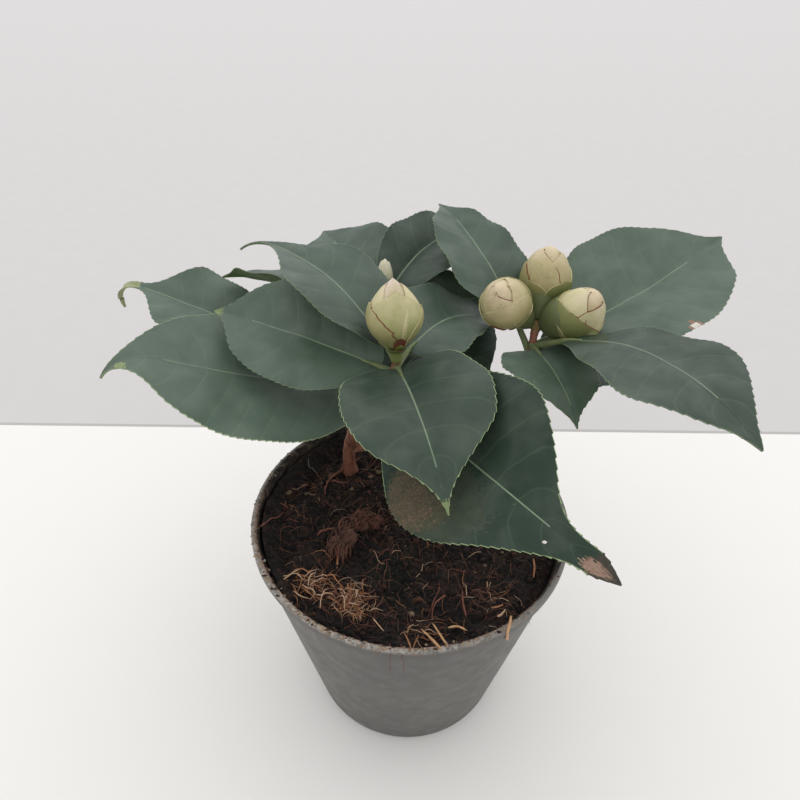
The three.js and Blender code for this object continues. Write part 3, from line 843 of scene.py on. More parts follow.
def seen_on_wall(pixel, off):
    """The place, that far off the pot's outside, that the photograph shows at one of its pixels."""
    for height in np.linspace(POT_HEIGHT, 0, 500):
        place = seen_at(pixel, float(height))
        outside = RIM_RADIUS if height > POT_HEIGHT - RIM_BAND else wall_at(height)
        if math.hypot(place.x, place.y) < outside + off:
            break
    return place


def make_pot():
    """The pot as a fine lathe, with its drain holes cut through the floor."""
    neck = POT_HEIGHT - RIM_BAND
    corner = np.linspace(0, np.pi / 2, 6)
    profile = [(0.01, 0), (BASE_RADIUS - FOOT_BEVEL, 0)]
    profile += [
        (BASE_RADIUS - FOOT_BEVEL + FOOT_BEVEL * math.sin(a), FOOT_BEVEL * (1 - math.cos(a))) for a in corner
    ]
    profile += [(wall_at(z), z) for z in np.linspace(FOOT_BEVEL + 0.5, neck, 40)]
    profile += [(RIM_RADIUS, neck + RIM_ROUND)]
    profile += [
        (RIM_RADIUS - RIM_ROUND + RIM_ROUND * math.cos(a), POT_HEIGHT - RIM_ROUND + RIM_ROUND * math.sin(a))
        for a in corner
    ]
    lip = RIM_RADIUS - RIM_LIP
    profile += [
        (lip - RIM_ROUND * math.sin(a) + 0.2, POT_HEIGHT - RIM_ROUND + RIM_ROUND * math.cos(a))
        for a in corner
    ]
    profile += [(inner_wall(z), z) for z in np.linspace(neck, FLOOR + 1, 30)]
    profile += [(inner_wall(FLOOR) - 1, FLOOR), (0.01, FLOOR)]
    profile = np.array(profile)
    turn = 2 * np.pi * np.arange(POT_SIDES) / POT_SIDES
    points = np.stack([
        profile[:, :1] * np.cos(turn), profile[:, :1] * np.sin(turn),
        np.repeat(profile[:, 1:], POT_SIDES, axis=1),
    ], axis=-1)
    faces = tube_faces(len(profile), POT_SIDES)
    rows = np.repeat(np.arange(len(profile) - 1), POT_SIDES)
    inside = rows > np.argmax(profile[:, 1])
    builder = Builder()
    builder.add(points, faces, np.append(np.where(inside, 1, 0), [0, 1]))
    pot = builder.make("pot_shell", [pot_finish(), pot_inside_finish()], "pot_plastic", "pot")
    cut_drains(pot)


def cut_drains(pot):
    drills = Builder()
    for i in range(DRAIN_COUNT):
        angle = (i + 0.5) * 2 * math.pi / DRAIN_COUNT
        x, y = DRAIN_RING * math.cos(angle), DRAIN_RING * math.sin(angle)
        add_tube(drills, [(x, y, -FLOOR), (x, y, FLOOR), (x, y, 3 * FLOOR)], DRAIN_RADIUS, DRAIN_SIDES, 0)
    mesh = bpy.data.meshes.new("drills")
    mesh.from_pydata(np.concatenate(drills.points) * MM, [], drills.faces)
    drill = bpy.data.objects.new("drills", mesh)
    bpy.context.scene.collection.objects.link(drill)
    cut = pot.modifiers.new("drains", "BOOLEAN")
    cut.object = drill
    cut.operation = "DIFFERENCE"
    graph = bpy.context.evaluated_depsgraph_get()
    carved = bpy.data.meshes.new_from_object(pot.evaluated_get(graph))
    pot.modifiers.clear()
    pot.data = carved
    bpy.data.objects.remove(drill)


def add_crust(builder):
    """Dried lime and peat along the rim, thickest on the left and in front, and crumbs beside it."""
    dice = random.Random(CRUST_SEED)
    for i in range(CRUST_COUNT):
        turn = math.radians(min(max(dice.gauss(*CRUST_TURN), CRUST_TURNS[0]), CRUST_TURNS[1]))
        radius = RIM_RADIUS - dice.uniform(*CRUST_INSET)
        on_top = radius > RIM_RADIUS - RIM_LIP + 0.2
        high = POT_HEIGHT - 0.05 if on_top else POT_HEIGHT - dice.uniform(0.3, 5)
        size = 0.1 + 0.5 * dice.random() ** 4
        place = (radius * math.cos(turn), radius * math.sin(turn), high)
        tone = dice.choices((1, 2, 5, 6), (0.3, 1, 1.5, 5) if on_top else (4, 4, 0.4, 4))[0]
        add_lump(builder, place, (size * dice.uniform(0.8, 2), size, 0.35 * size), tone, i, 0.6)


def soil_tones(points):
    """Which peat each face of the top shows: brown where broad noise says, mossy in one hollow."""
    middles = points.reshape(-1, 3)
    brown = noise_at(middles * (1, 1, 0), 6, 31, 3) > 0.22
    aside = (middles[:, 0] - MOSS_AT[0]) / MOSS_REACH[0]
    along = (middles[:, 1] - MOSS_AT[1]) / MOSS_REACH[1]
    mossy = np.hypot(aside, along) + 0.5 * noise_at(middles * (1, 1, 0), 4, 33, 2) < 1
    return np.where(mossy, 4, np.where(brown, 1, 0))


def make_soil():
    """The root ball's lumpy top, closed below, with crumbs and clods lying on it."""
    builder = Builder()
    reach = inner_wall(SOIL_LEVEL) - SOIL_GAP
    radii = reach * (np.arange(SOIL_RINGS) + 0.5) / (SOIL_RINGS - 0.5)
    turn = 2 * np.pi * np.arange(SOIL_SIDES) / SOIL_SIDES
    x = radii[:, None] * np.cos(turn)
    y = radii[:, None] * np.sin(turn)
    top = np.stack([x, y, soil_top(x, y)], axis=-1)
    bottom = SOIL_LEVEL - SOIL_DEPTH
    low = inner_wall(bottom) - SOIL_GAP
    wall = np.stack([low * np.cos(turn), low * np.sin(turn), np.full(SOIL_SIDES, bottom)], -1)
    points = np.concatenate([top, wall[None]])
    faces = tube_faces(SOIL_RINGS + 1, SOIL_SIDES)
    builder.add(points, faces, np.append(soil_tones(points[:-1]), [0, 0]))
    add_crust(builder)
    dice = random.Random(CRUMB_SEED)
    for i in range(CRUMB_COUNT):
        distance = (reach - 1.5) * math.sqrt(dice.random())
        angle = dice.uniform(0, 2 * math.pi)
        cx, cy = distance * math.cos(angle), distance * math.sin(angle)
        size = 0.3 + 1.3 * dice.random() ** 3
        flat = dice.uniform(0.5, 0.9)
        z = float(soil_top(np.array(cx), np.array(cy))) + 0.2 * size
        tone = dice.choices((0, 1, 2, 3), (7, 4, 1.2, 0.2))[0]
        add_lump(builder, (cx, cy, z), (size, size * dice.uniform(0.6, 1), size * flat), tone, i)
    finishes = [
        soil_finish("peat_black", (18, 15, 15), (46, 36, 32)),
        soil_finish("peat_brown", (32, 23, 21), (66, 47, 38)),
        soil_finish("peat_rusty", (56, 36, 28), (92, 62, 46)),
        soil_finish("peat_pale", (96, 80, 62), (134, 114, 90)),
        soil_finish("peat_mossy", (17, 19, 16), (36, 38, 28)),
        soil_finish("crust_white", (150, 145, 136), (186, 181, 172)),
        soil_finish("crust_tan", (128, 106, 86), (172, 152, 128)),
    ]
    builder.make("soil_top", finishes, "soil", "soil")


def add_fibre(builder, start, head, length, radius, tone, dice, bend=24.0, lift=0.0):
    """One thin root lying on the soil: it wanders as it goes, and arches by its lift."""
    steps = max(6, int(length / 1.2))
    x, y = start
    path = []
    for i in range(steps + 1):
        share = i / steps
        z = float(soil_top(np.array(x), np.array(y))) + radius + lift * math.sin(math.pi * share)
        path.append((x, y, z))
        head += dice.uniform(-bend, bend)
        x += length / steps * math.cos(math.radians(head))
        y += length / steps * math.sin(math.radians(head))
    radii = radius * (1 - 0.6 * np.abs(np.linspace(-0.6, 1, steps + 1)) ** 2)
    add_tube(builder, path, radii, FIBRE_SIDES, tone)


def add_knot(builder, knot, dice):
    """A tangle of fibres about one place, all running roughly one way."""
    middle = seen_on_soil(knot["seen"], knot["lift"] / 2)
    for _ in range(knot["count"]):
        x = middle[0] + dice.gauss(0, knot["spread"][0])
        y = middle[1] + dice.gauss(0, knot["spread"][1])
        head = knot["head"] + dice.uniform(-knot["fan"], knot["fan"])
        tone = dice.choice(knot["tones"])
        length = knot["length"] * dice.uniform(0.5, 1.2)
        lift = knot["lift"] * dice.random()
        if math.hypot(x, y) < FIBRE_REACH + 3:
            add_fibre(builder, (x, y), head, length, dice.uniform(*knot["radii"]), tone, dice, lift=lift)


def add_clod(builder, dice):
    """The fibrous clod that lies across the soil: lumps along a bent line, wrapped in fibres."""
    given = [(*seen_on_soil(pixel, CLOD_TOP), 0) for pixel in CLOD_SEEN]
    line = catmull_rom(given, np.linspace(0, 1, CLOD_LUMPS))
    heads = np.degrees(np.arctan2(*np.gradient(line, axis=0)[:, 1::-1].T))
    for i, (place, head) in enumerate(zip(line, heads)):
        x, y = place[:2] + [dice.gauss(0, 1), dice.gauss(0, 1)]
        z = float(soil_top(np.array(x), np.array(y)))
        size = dice.uniform(2.6, 3.8)
        add_lump(builder, (x, y, z + 1.2), (size, size, 0.9 * size), FIBRE_TONES["clod"], i, 0.5)
        for _ in range(CLOD_FIBRES):
            turned = head + dice.uniform(-26, 26)
            length = dice.uniform(4, 9)
            start = (
                x + dice.gauss(0, 1.6) - 0.5 * length * math.cos(math.radians(turned)),
                y + dice.gauss(0, 1.6) - 0.5 * length * math.sin(math.radians(turned)),
            )
            tone = FIBRE_TONES[dice.choice(("dark", "red", "brown", "clod"))]
            lift = dice.uniform(3.2, 5.4)
            radius = dice.uniform(0.14, 0.32)
            add_fibre(builder, start, turned, length, radius, tone, dice, bend=12, lift=lift)


def add_strand(builder, strand):
    """One strand that stands out, where the photograph shows it, arched by its lift."""
    steps = STRAND_STEPS
    given = [(*seen_on_soil(pixel, strand["lift"] / 2), 0) for pixel in strand["seen"]]
    if strand.get("over_rim"):
        climb = np.linspace(SOIL_LEVEL + SOIL_BANK[0], POT_HEIGHT, len(given))
        given = [(*seen_at(pixel, float(z)).xy, 0) for pixel, z in zip(strand["seen"], climb)]
    line = catmull_rom(given, np.linspace(0, 1, steps))
    arch = strand["lift"] * np.sin(np.pi * np.linspace(0.08, 0.92, steps))
    line[:, 2] = soil_top(line[:, 0], line[:, 1]) + strand["radii"][0] + arch
    line[:, 2] = np.convolve(np.pad(line[:, 2], 2, mode="edge"), np.ones(5) / 5, mode="valid")
    if strand.get("over_rim"):
        foot = line[0, 2]
        reach = np.hypot(line[:, 0], line[:, 1])
        onto = (reach - reach[0]) / (RIM_RADIUS - RIM_LIP / 2 - reach[0])
        line[:, 2] = foot + (POT_HEIGHT + strand["radii"][0] - foot) * np.minimum(onto, 1.04)
    elif strand.get("stiff"):
        line[:, 2] = np.linspace(line[0, 2], line[-1, 2], steps) + strand["lift"]
    pointed = 1 - 0.75 * np.abs(np.linspace(-1, 1, steps)) ** 5
    radii = np.linspace(*strand["radii"], steps) * pointed
    add_tube(builder, line, radii, STRAND_SIDES, FIBRE_TONES[strand["tone"]])


def add_hair(builder, hair):
    """A hair or chip that lies on the rim's edge and hangs down outside it."""
    thick = max(hair["radii"])
    top = seen_at(hair["seen"][0], POT_HEIGHT + thick)
    path = [top] + [seen_on_wall(pixel, thick) for pixel in hair["seen"][1:]]
    line = catmull_rom(path, np.linspace(0, 1, HAIR_STEPS))
    radii = np.linspace(*hair["radii"], HAIR_STEPS)
    add_tube(builder, line, radii, HAIR_SIDES, FIBRE_TONES[hair["tone"]])


def make_fibres():
    """Roots, fibres and straws on the soil: fine ones all over, and those that stand out."""
    builder = Builder()
    dice = random.Random(FIBRE_SEED)
    for _ in range(FIBRE_COUNT):
        distance = FIBRE_REACH * math.sqrt(dice.random())
        angle = dice.uniform(0, 2 * math.pi)
        start = (distance * math.cos(angle), distance * math.sin(angle))
        length = dice.uniform(2.5, 11)
        tone = dice.choices(range(5), (8, 6, 0.8, 0.5, 1.6))[0]
        head = dice.uniform(0, 360)
        turn = math.radians(head)
        end = (start[0] + length * math.cos(turn), start[1] + length * math.sin(turn))
        radius = dice.uniform(0.06, 0.17)
        lift = dice.uniform(0, 1.6)
        if math.hypot(*end) < FIBRE_REACH + 4:
            add_fibre(builder, start, head, length, radius, tone, dice, lift=lift)
    for knot in KNOTS:
        add_knot(builder, knot, dice)
    add_clod(builder, dice)
    for strand in STRANDS.values():
        add_strand(builder, strand)
    for hair in HANGING_HAIRS.values():
        add_hair(builder, hair)
    finishes = [
        plain_finish("fibre_dark", (44, 31, 27), (70, 50, 42), 3, 0.85),
        plain_finish("fibre_brown", (80, 54, 42), (112, 78, 60), 3, 0.8),
        plain_finish("fibre_orange", (142, 92, 62), (172, 120, 84), 3, 0.8),
        plain_finish("fibre_pale", (182, 146, 116), (212, 178, 148), 3, 0.75),
        plain_finish("root_red", (96, 54, 44), (134, 80, 64), 3, 0.75),
        plain_finish("root_grey", (104, 98, 94), (136, 128, 122), 3, 0.8),
        plain_finish("clod_brown", (78, 50, 42), (116, 80, 66), 1.6, 0.9, 0.5),
        plain_finish("straw", (178, 132, 92), (212, 168, 124), 2.4, 0.65),
    ]
    builder.make("soil_fibres", finishes, "fibre")


FIBRE_TONES = {"dark": 0, "brown": 1, "orange": 2, "pale": 3, "red": 4, "grey": 5, "clod": 6, "straw": 7}

# Tangles of fibre on the soil: where the photograph shows each, in its pixels, how far it
# spreads in millimetres and which way it runs.
KNOTS = [
    {"seen": (304, 585), "spread": (4.5, 2.4), "head": 10, "fan": 80, "count": 48, "length": 10,
     "lift": 2, "radii": (0.08, 0.24), "tones": (1, 2, 2, 3)},
    {"seen": (349, 603), "spread": (2.8, 3), "head": 60, "fan": 60, "count": 120, "length": 7,
     "lift": 3, "radii": (0.07, 0.24), "tones": (1, 2, 2, 3)},
    {"seen": (330, 599), "spread": (4, 2.6), "head": 20, "fan": 60, "count": 50, "length": 9,
     "lift": 2, "radii": (0.06, 0.16), "tones": (1, 1, 4, 3)},
    {"seen": (414, 629), "spread": (4, 2), "head": 20, "fan": 60, "count": 24, "length": 8,
     "lift": 2, "radii": (0.07, 0.18), "tones": (1, 2, 3)},
    {"seen": (487, 597), "spread": (6, 4), "head": 0, "fan": 180, "count": 40, "length": 7,
     "lift": 1.6, "radii": (0.07, 0.17), "tones": (1, 1, 4, 3)},
]

# The clod: its middle line in the photograph's pixels, and how far that stands over the soil.
CLOD_SEEN = [(338, 548), (342, 535), (352, 524), (370, 517)]
CLOD_TOP = 3
CLOD_LUMPS = 12
CLOD_FIBRES = 22


def strand_rule(tone, lift, radii, *seen, **more):
    """A strand: its tone, its lift over the soil, its radii from end to end, and its places in
    the photograph's pixels."""
    return {"tone": tone, "lift": lift, "radii": radii, "seen": seen, **more}


STRANDS = {
    "tangle_arch": strand_rule("pale", 2, (0.3, 0.2), (283, 579), (291, 575), (297, 572), (301, 569)),
    "tangle_top": strand_rule("orange", 2, (0.25, 0.2), (296, 568), (304, 571), (309, 574), (316, 578)),
    "tangle_low": strand_rule("pale", 1.5, (0.3, 0.2), (283, 576), (295, 575), (304, 580)),
    "tangle_upright": strand_rule(
        "pale", 2.5, (0.35, 0.2), (315, 572), (311, 577), (309, 582), (308, 587),
    ),
    "tangle_fall": strand_rule(
        "pale", 1.5, (0.3, 0.2), (300, 584), (305, 587), (311, 590), (315, 594), (310, 600),
    ),
    "tangle_long": strand_rule("pale", 1.5, (0.3, 0.2), (315, 595), (323, 596), (330, 595), (336, 599)),
    "tangle_left": strand_rule("pale", 1.5, (0.3, 0.2), (293, 591), (297, 595), (302, 598), (310, 599)),
    "loop": strand_rule("pale", 2, (0.2, 0.2), (330, 588), (325, 591), (323, 596), (321, 601), (320, 608)),
    "bridge": strand_rule(
        "orange", 2, (0.35, 0.25), (323, 576), (328, 577), (333, 577), (336, 581), (344, 588),
    ),
    "knot_upper": strand_rule("orange", 1.5, (0.3, 0.2), (327, 598), (333, 601), (337, 604), (342, 606)),
    "knot_across": strand_rule("orange", 1.5, (0.3, 0.25), (340, 613), (346, 612), (352, 610)),
    "knot_hanging": strand_rule("orange", 1, (0.35, 0.25), (352, 611), (353, 616), (354, 622)),
    "knot_slant": strand_rule("pale", 2, (0.25, 0.2), (339, 595), (343, 598), (347, 601)),
    "thin_line": strand_rule("grey", 1, (0.12, 0.1), (346, 574), (353, 581), (360, 585), (364, 588)),
    "big_root": strand_rule(
        "red", 1, (0.65, 0.5),
        (327, 484), (331, 479), (337, 475), (343, 471), (350, 467), (355, 463), (361, 458),
    ),
    "side_root": strand_rule("red", 1, (0.5, 0.35), (331, 482), (337, 483), (347, 483)),
    "root_foot": strand_rule("red", 0.3, (0.4, 0.3), (327, 484), (325, 489), (325, 495)),
    "grey_hair": strand_rule("grey", 0.8, (0.2, 0.15), (308, 456), (309, 462), (313, 469), (320, 477)),
    "left_root": strand_rule(
        "red", 1, (0.35, 0.25), (260, 529), (265, 524), (272, 519), (280, 517), (285, 512),
    ),
    "left_scrap": strand_rule("red", 0.5, (0.4, 0.3), (280, 502), (284, 506), (289, 509)),
    "middle_root": strand_rule("red", 1.5, (0.6, 0.45), (317, 536), (326, 532), (337, 529)),
    "clod_thread": strand_rule("orange", 1, (0.5, 0.3), (338, 550), (338, 558), (337, 569)),
    "straw_thick": strand_rule("straw", 0.5, (0.3, 0.55), (421, 627), (431, 638), (441, 650), over_rim=True),
    "straw_bent": strand_rule("straw", 0.5, (0.32, 0.42), (432, 620), (439, 631), (448, 647), over_rim=True),
    "straw_bent_top": strand_rule("red", 1.5, (0.3, 0.25), (446, 595), (438, 602), (433, 610), (432, 620)),
    "front_thread": strand_rule(
        "red", 1.5, (0.13, 0.18), (439, 581), (439, 590), (434, 601), (431, 610), (428, 616),
    ),
    "rim_twig": strand_rule("orange", 0.6, (0.25, 0.3), (404, 633), (408, 640), (411, 648), over_rim=True),
    "rim_cross": strand_rule("orange", 0.6, (0.25, 0.2), (419, 633), (416, 640), (413, 646), over_rim=True),
    "bark_chip": strand_rule("straw", 0.6, (0.45, 0.4), (448, 629), (457, 630), (467, 632), stiff=True),
    "stick_upper": strand_rule("orange", 0.5, (0.4, 0.35), (491, 609), (497, 608), (503, 606), stiff=True),
    "stick_lower": strand_rule("pale", 0.5, (0.5, 0.35), (497, 618), (501, 615), (505, 611), stiff=True),
    "dark_stick": strand_rule("red", 0.8, (0.4, 0.35), (462, 593), (463, 604), (466, 618), stiff=True),
    "right_stick": strand_rule("orange", 1, (0.4, 0.35), (533, 560), (534, 570), (533, 580), stiff=True),
    "right_brown": strand_rule("brown", 0.8, (0.35, 0.3), (471, 591), (482, 593), (491, 595)),
    "front_pale": strand_rule(
        "pale", 0.5, (0.25, 0.2), (373, 619), (376, 624), (380, 629), (384, 632), stiff=True,
    ),
}

# Hairs and a chip of straw that hang over the rim in front, in the photograph's pixels: the
# first place is on the rim's top and the others are on the pot's outside.
HANGING_HAIRS = {
    "left_hair": {"seen": [(390, 644), (390, 654), (390, 671)], "radii": (0.12, 0.08), "tone": "red"},
    "middle_hair": {"seen": [(401, 644), (402, 655), (404, 672)], "radii": (0.12, 0.08), "tone": "red"},
    "orange_hair": {"seen": [(410, 643), (411, 650), (414, 656)], "radii": (0.18, 0.14), "tone": "orange"},
    "crossing_hair": {"seen": [(410, 644), (409, 650), (401, 659)], "radii": (0.16, 0.12), "tone": "red"},
    "right_hair": {"seen": [(446, 641), (451, 648), (458, 651)], "radii": (0.12, 0.1), "tone": "grey"},
    "chip": {"seen": [(511, 616), (510, 622), (508, 630), (507, 639)], "radii": (0.4, 0.6), "tone": "straw"},
}


def make_bark():
    """The trunk and boughs with the bark's relief: low ridges and knobs, and roots flaring at the trunk's
    foot.
    """
    builder = Builder()
    for order, limb in enumerate(LIMBS.values()):
        given = [Vector(p) for p in limb["path"]]
        reach = sum((b - a).length for a, b in zip(given, given[1:]))
        rows = int(reach / LIMB_STEP)
        shares = np.linspace(0, 1, rows)
        path = catmull_rom(limb["path"], shares)
        if limb["flare"]:
            path[0] = TRUNK_FOOT

        def relief(angles, places, limb=limb, order=order):
            spots = np.stack([
                np.repeat(np.cos(angles)[None] * 2.4, len(places), 0),
                np.repeat(np.sin(angles)[None] * 2.4, len(places), 0),
                np.repeat(places[:, 2:] * 0.35, len(angles), 1),
            ], axis=-1)
            ridge = 0.22 * noise_at(spots, 1.1, 3 + order, 3)
            knob = 0.35 * np.maximum(0, noise_at(spots * (1, 1, 3), 5, 9 + order, 1) - 0.1)
            height = places[:, 2:] - TRUNK_FOOT[2]
            fade = np.maximum(0, 1 - height / FLARE_HEIGHT)
            dip = 1 - FLARE_DIP + FLARE_DIP * np.cos(FLARE_ROOTS * angles)
            return ridge + knob + limb["flare"] * fade * dip

        radii = np.linspace(*limb["radii"], rows)
        add_tube(builder, path, radii, LIMB_SIDES, 0, relief)
    finish = bark_finish("camellia_bark", (84, 50, 40), (148, 96, 72))
    builder.make("bark", [finish], "bark", *LIMBS)


def bearing(leaf, s):
    """The way the midrib points, s of the way along the blade."""
    s = np.asarray(s, float)
    curled = np.clip((s - leaf["curl_from"]) / (1 - leaf["curl_from"]), 0, 1) ** CURL_POWER
    pitch = np.radians(leaf["rise"] - leaf["droop"] * s - leaf["curl"] * curled)
    head = np.radians(leaf["head"] + leaf["sway"] * s)
    return np.stack([np.cos(head) * np.cos(pitch), np.sin(head) * np.cos(pitch), np.sin(pitch)], -1)


def midrib(leaf, s):
    """Points on the midrib, found by adding up short steps along its bearing."""
    steps = (np.arange(MIDRIB_STEPS) + 0.5) / MIDRIB_STEPS
    moves = bearing(leaf, steps) * leaf["length"] / MIDRIB_STEPS
    start = np.asarray(leaf["from"], float) + bearing(leaf, 0) * leaf["stalk"]
    chain = np.vstack([start, start + np.cumsum(moves, axis=0)])
    knots = np.linspace(0, 1, MIDRIB_STEPS + 1)
    return np.stack([np.interp(s, knots, chain[:, k]) for k in range(3)], -1)


def blade_share(leaf, s):
    """Half the blade's width along it, as a share of its widest place."""
    narrowed = leaf["narrow"] * smoothstep(s, leaf["neck"], leaf["neck_end"])
    return np.abs(np.sin(np.pi * s ** leaf["broad"])) ** BLADE_FULLNESS * (1 - narrowed)


def tooth_rows(leaf):
    """Where the blade's rows lie, and how far out the margin stands at each: a saw edge."""
    teeth = round(leaf["length"] / TOOTH_PITCH)
    s = ((np.arange(teeth)[:, None] + TOOTH_STEPS) / teeth).ravel()
    profile = np.tile(TOOTH_PROFILE, teeth)
    s = np.append(s, 1.0)
    profile = np.append(profile, 0.0)
    fade = smoothstep(s, 0.1, 0.24) * (1 - smoothstep(s, 0.93, 0.99))
    return s, (profile - 0.5) * TOOTH_DEPTH * fade


def blade_halves(leaf, s):
    """Half the blade's width on each side along it, in millimetres, with the leaf's own bulges."""
    halves = {}
    for side in (-1, 1):
        half = leaf["width"] / 2 * blade_share(leaf, s) * (1 + side * leaf["skew"])
        for bulged, centre, spread, out in leaf["bulges"]:
            if bulged == side:
                half = half + out * np.exp(-((s - centre) / spread) ** 2)
        halves[side] = np.maximum(half, TIP_HALF_WIDTH)
    return halves


def blade_columns(halves, rib, count):
    """How far each point of a row lies from the midrib, from the left margin to the right one."""
    inner = np.linspace(0, 1, count - 2)[1:]
    outs = {}
    for side, half in halves.items():
        strip = np.minimum(EDGE_STRIP, 0.3 * half)
        middle = rib[:, None] + (half - strip - rib)[:, None] * inner[None] ** 0.92
        outs[side] = np.column_stack([rib, middle, half - strip * 0.5, half])
    return np.column_stack([outs[-1][:, ::-1], np.zeros(len(rib)), outs[1]])


def blade_height(leaf, s, share, away, half, sign, rib, turn):
    """The blade's top over its flat sheet: folds, soft quilting, the groove and a wavy margin."""
    u = away / half
    fold = np.where(sign < 0, math.radians(leaf["fold"][0]), math.radians(leaf["fold"][1]))
    rise = half * np.sin(fold) * (u - 0.25 * u ** 2) / 0.75
    order = s[:, None] * leaf["length"] / VEIN_SPACING - u * (0.55 + u * 0.55)
    apart = np.abs(order - np.floor(order) - 0.5)
    body = smoothstep(u, 0.02, 0.2) * (1 - smoothstep(u, 0.82, 1)) * smoothstep(share, 0.2, 0.6)[:, None]
    quilt = -0.12 * np.exp(-(apart / 0.16) ** 2) * body
    groove = -0.4 * np.exp(-away / 1.4) * (1 - 0.6 * s[:, None])
    lifted = 0.2 * (away < rib[:, None] * 0.5) * (1 - 0.5 * s[:, None])
    wave = 0.8 * u ** 3 * np.sin(2 * np.pi * 3.3 * s[:, None] + turn + 1.9 * sign)
    return rise + quilt + groove + lifted + wave * smoothstep(share, 0.1, 0.6)[:, None]


def blade_tones(leaf, s, u, dice):
    """The finish of each face round each row: the top, then the underside back again."""
    columns = len(u)
    middle = columns // 2
    tones = np.full((len(s) - 1, 2 * columns), LEAF_TONES["under"])
    tones[:, :columns - 1] = LEAF_TONES[leaf["tone"]]
    ribbed = np.nonzero(s[:-1] < RIB_END)[0]
    tones[ribbed[:, None], [middle - 1, middle]] = LEAF_TONES["rib"]
    margin = [0, 1, columns - 3, columns - 2, columns - 1, 2 * columns - 1]
    tones[:, margin] = LEAF_TONES[leaf["edge"]]
    paint_marks(leaf, tones, s, np.concatenate([u, u[::-1]]), dice)
    return tones


def add_blade(builder, leaf, seed):
    """A leaf's blade: a thin curved sheet with a toothed margin, a grooved midrib, soft
    quilting between its side veins, and a raised rib underneath."""
    s, tooth = tooth_rows(leaf)
    dice = random.Random(seed)
    ahead = bearing(leaf, s)
    level = unit(np.cross(ahead, (0, 0, 1)))
    roll = math.radians(leaf["roll"])
    side = level * math.cos(roll) + np.cross(level, ahead) * math.sin(roll)
    top = np.cross(side, ahead)
    share = blade_share(leaf, s)
    halves = blade_halves(leaf, s)
    rib = np.minimum(RIB_HALF * (1.1 - 0.75 * s), 0.3 * np.minimum(halves[-1], halves[1]))
    away = blade_columns(halves, rib, leaf["columns"])
    columns = away.shape[1]
    sign = np.sign(np.arange(columns) - columns // 2)
    half = np.where(sign < 0, halves[-1][:, None], halves[1][:, None])
    u = away / half
    height = blade_height(leaf, s, share, away, half, sign, rib, dice.uniform(0, 6.28))
    outward = np.where(u > 0.97, tooth[:, None], 0)
    fold = np.where(sign < 0, math.radians(leaf["fold"][0]), math.radians(leaf["fold"][1]))
    across = sign * (away * np.cos(fold) + outward)
    points = midrib(leaf, s)[:, None] + side[:, None] * across[..., None] + top[:, None] * height[..., None]
    points = points + ahead[:, None] * (0.4 * np.maximum(outward, 0))[..., None]
    buckle = 0.55 * noise_at(points, 17, seed % 40, 2) * smoothstep(share, 0, 0.5)[:, None]
    points = points + top[:, None] * buckle[..., None]
    keel = 0.9 * np.exp(-(away / 0.8) ** 2) * (1 - 0.75 * s[:, None])
    under = points - top[:, None] * (BLADE_THICKNESS * np.where(u > 0.97, 0.6, 1) + keel)[..., None]
    ring = np.concatenate([points, under[:, ::-1]], axis=1)
    faces = sheet_faces(len(s), columns)
    tones = blade_tones(leaf, s, (sign * u)[len(s) // 2], dice)
    ends = np.full(len(faces) - tones.size, LEAF_TONES["under"])
    across_spots = np.concatenate([sign * u, (sign * u)[:, ::-1]], axis=1)
    along_spots = np.repeat(s[:, None] * leaf["length"] / VEIN_SPACING, 2 * columns, axis=1)
    spots = np.stack([across_spots, along_spots], axis=-1).reshape(-1, 2)
    builder.add(ring, faces, np.concatenate([tones.ravel(), ends]), spots)


def paint_marks(leaf, tones, s, u, dice):
    """Places of another colour on a blade: tips, dried edges and rusty patches."""
    middles = (s[:-1] + s[1:]) / 2
    across = (u + np.roll(u, -1)) / 2
    for mark in leaf["marks"]:
        far = ((middles[:, None] - mark["s"][0]) / mark["s"][1]) ** 2
        far = far + ((across[None] - mark["u"][0]) / mark["u"][1]) ** 2
        edge = np.array([[dice.gauss(1, mark.get("ragged", 0.15)) for _ in across] for _ in middles])
        luck = np.array([[dice.random() for _ in across] for _ in middles])
        hit = (far < edge) & (luck < mark.get("share", 1))
        if mark.get("top_only"):
            hit[:, len(u) // 2 - 1:] = False
        tones[hit] = LEAF_TONES[mark["tone"]]


def add_petiole(builder, leaf):
    """The leaf's stalk: thicker where it leaves the twig, running into the rib underneath."""
    start = np.asarray(leaf["from"], float)
    reach = midrib(leaf, np.array([0.0, 0.05, 0.12]))
    shares = np.linspace(0, 1, STALK_STEPS)
    given = [start, (start + reach[0]) / 2, reach[0], reach[1], reach[2] - (0, 0, 0.5)]
    radii = np.interp(shares, (0, 0.12, 0.5, 1), (1.6, 1.25, 1.05, 0.4))
    add_tube(builder, catmull_rom(given, shares), radii, STALK_SIDES, LEAF_TONES["stalk"])


# The first five tones are lighter and darker copies of one green: painted light and painted shade.
LEAF_TONES = {
    "deep": 0, "grey": 1, "dark": 2, "lit_pale": 3, "shaded": 4, "under": 5, "rib": 6, "edge": 7,
    "edge_pale": 8, "lime": 9, "brown": 10, "dried": 11, "bronze": 12, "rust": 13, "chalk": 14,
    "stalk": 15, "tarnish": 16, "pale_lime": 17,
}


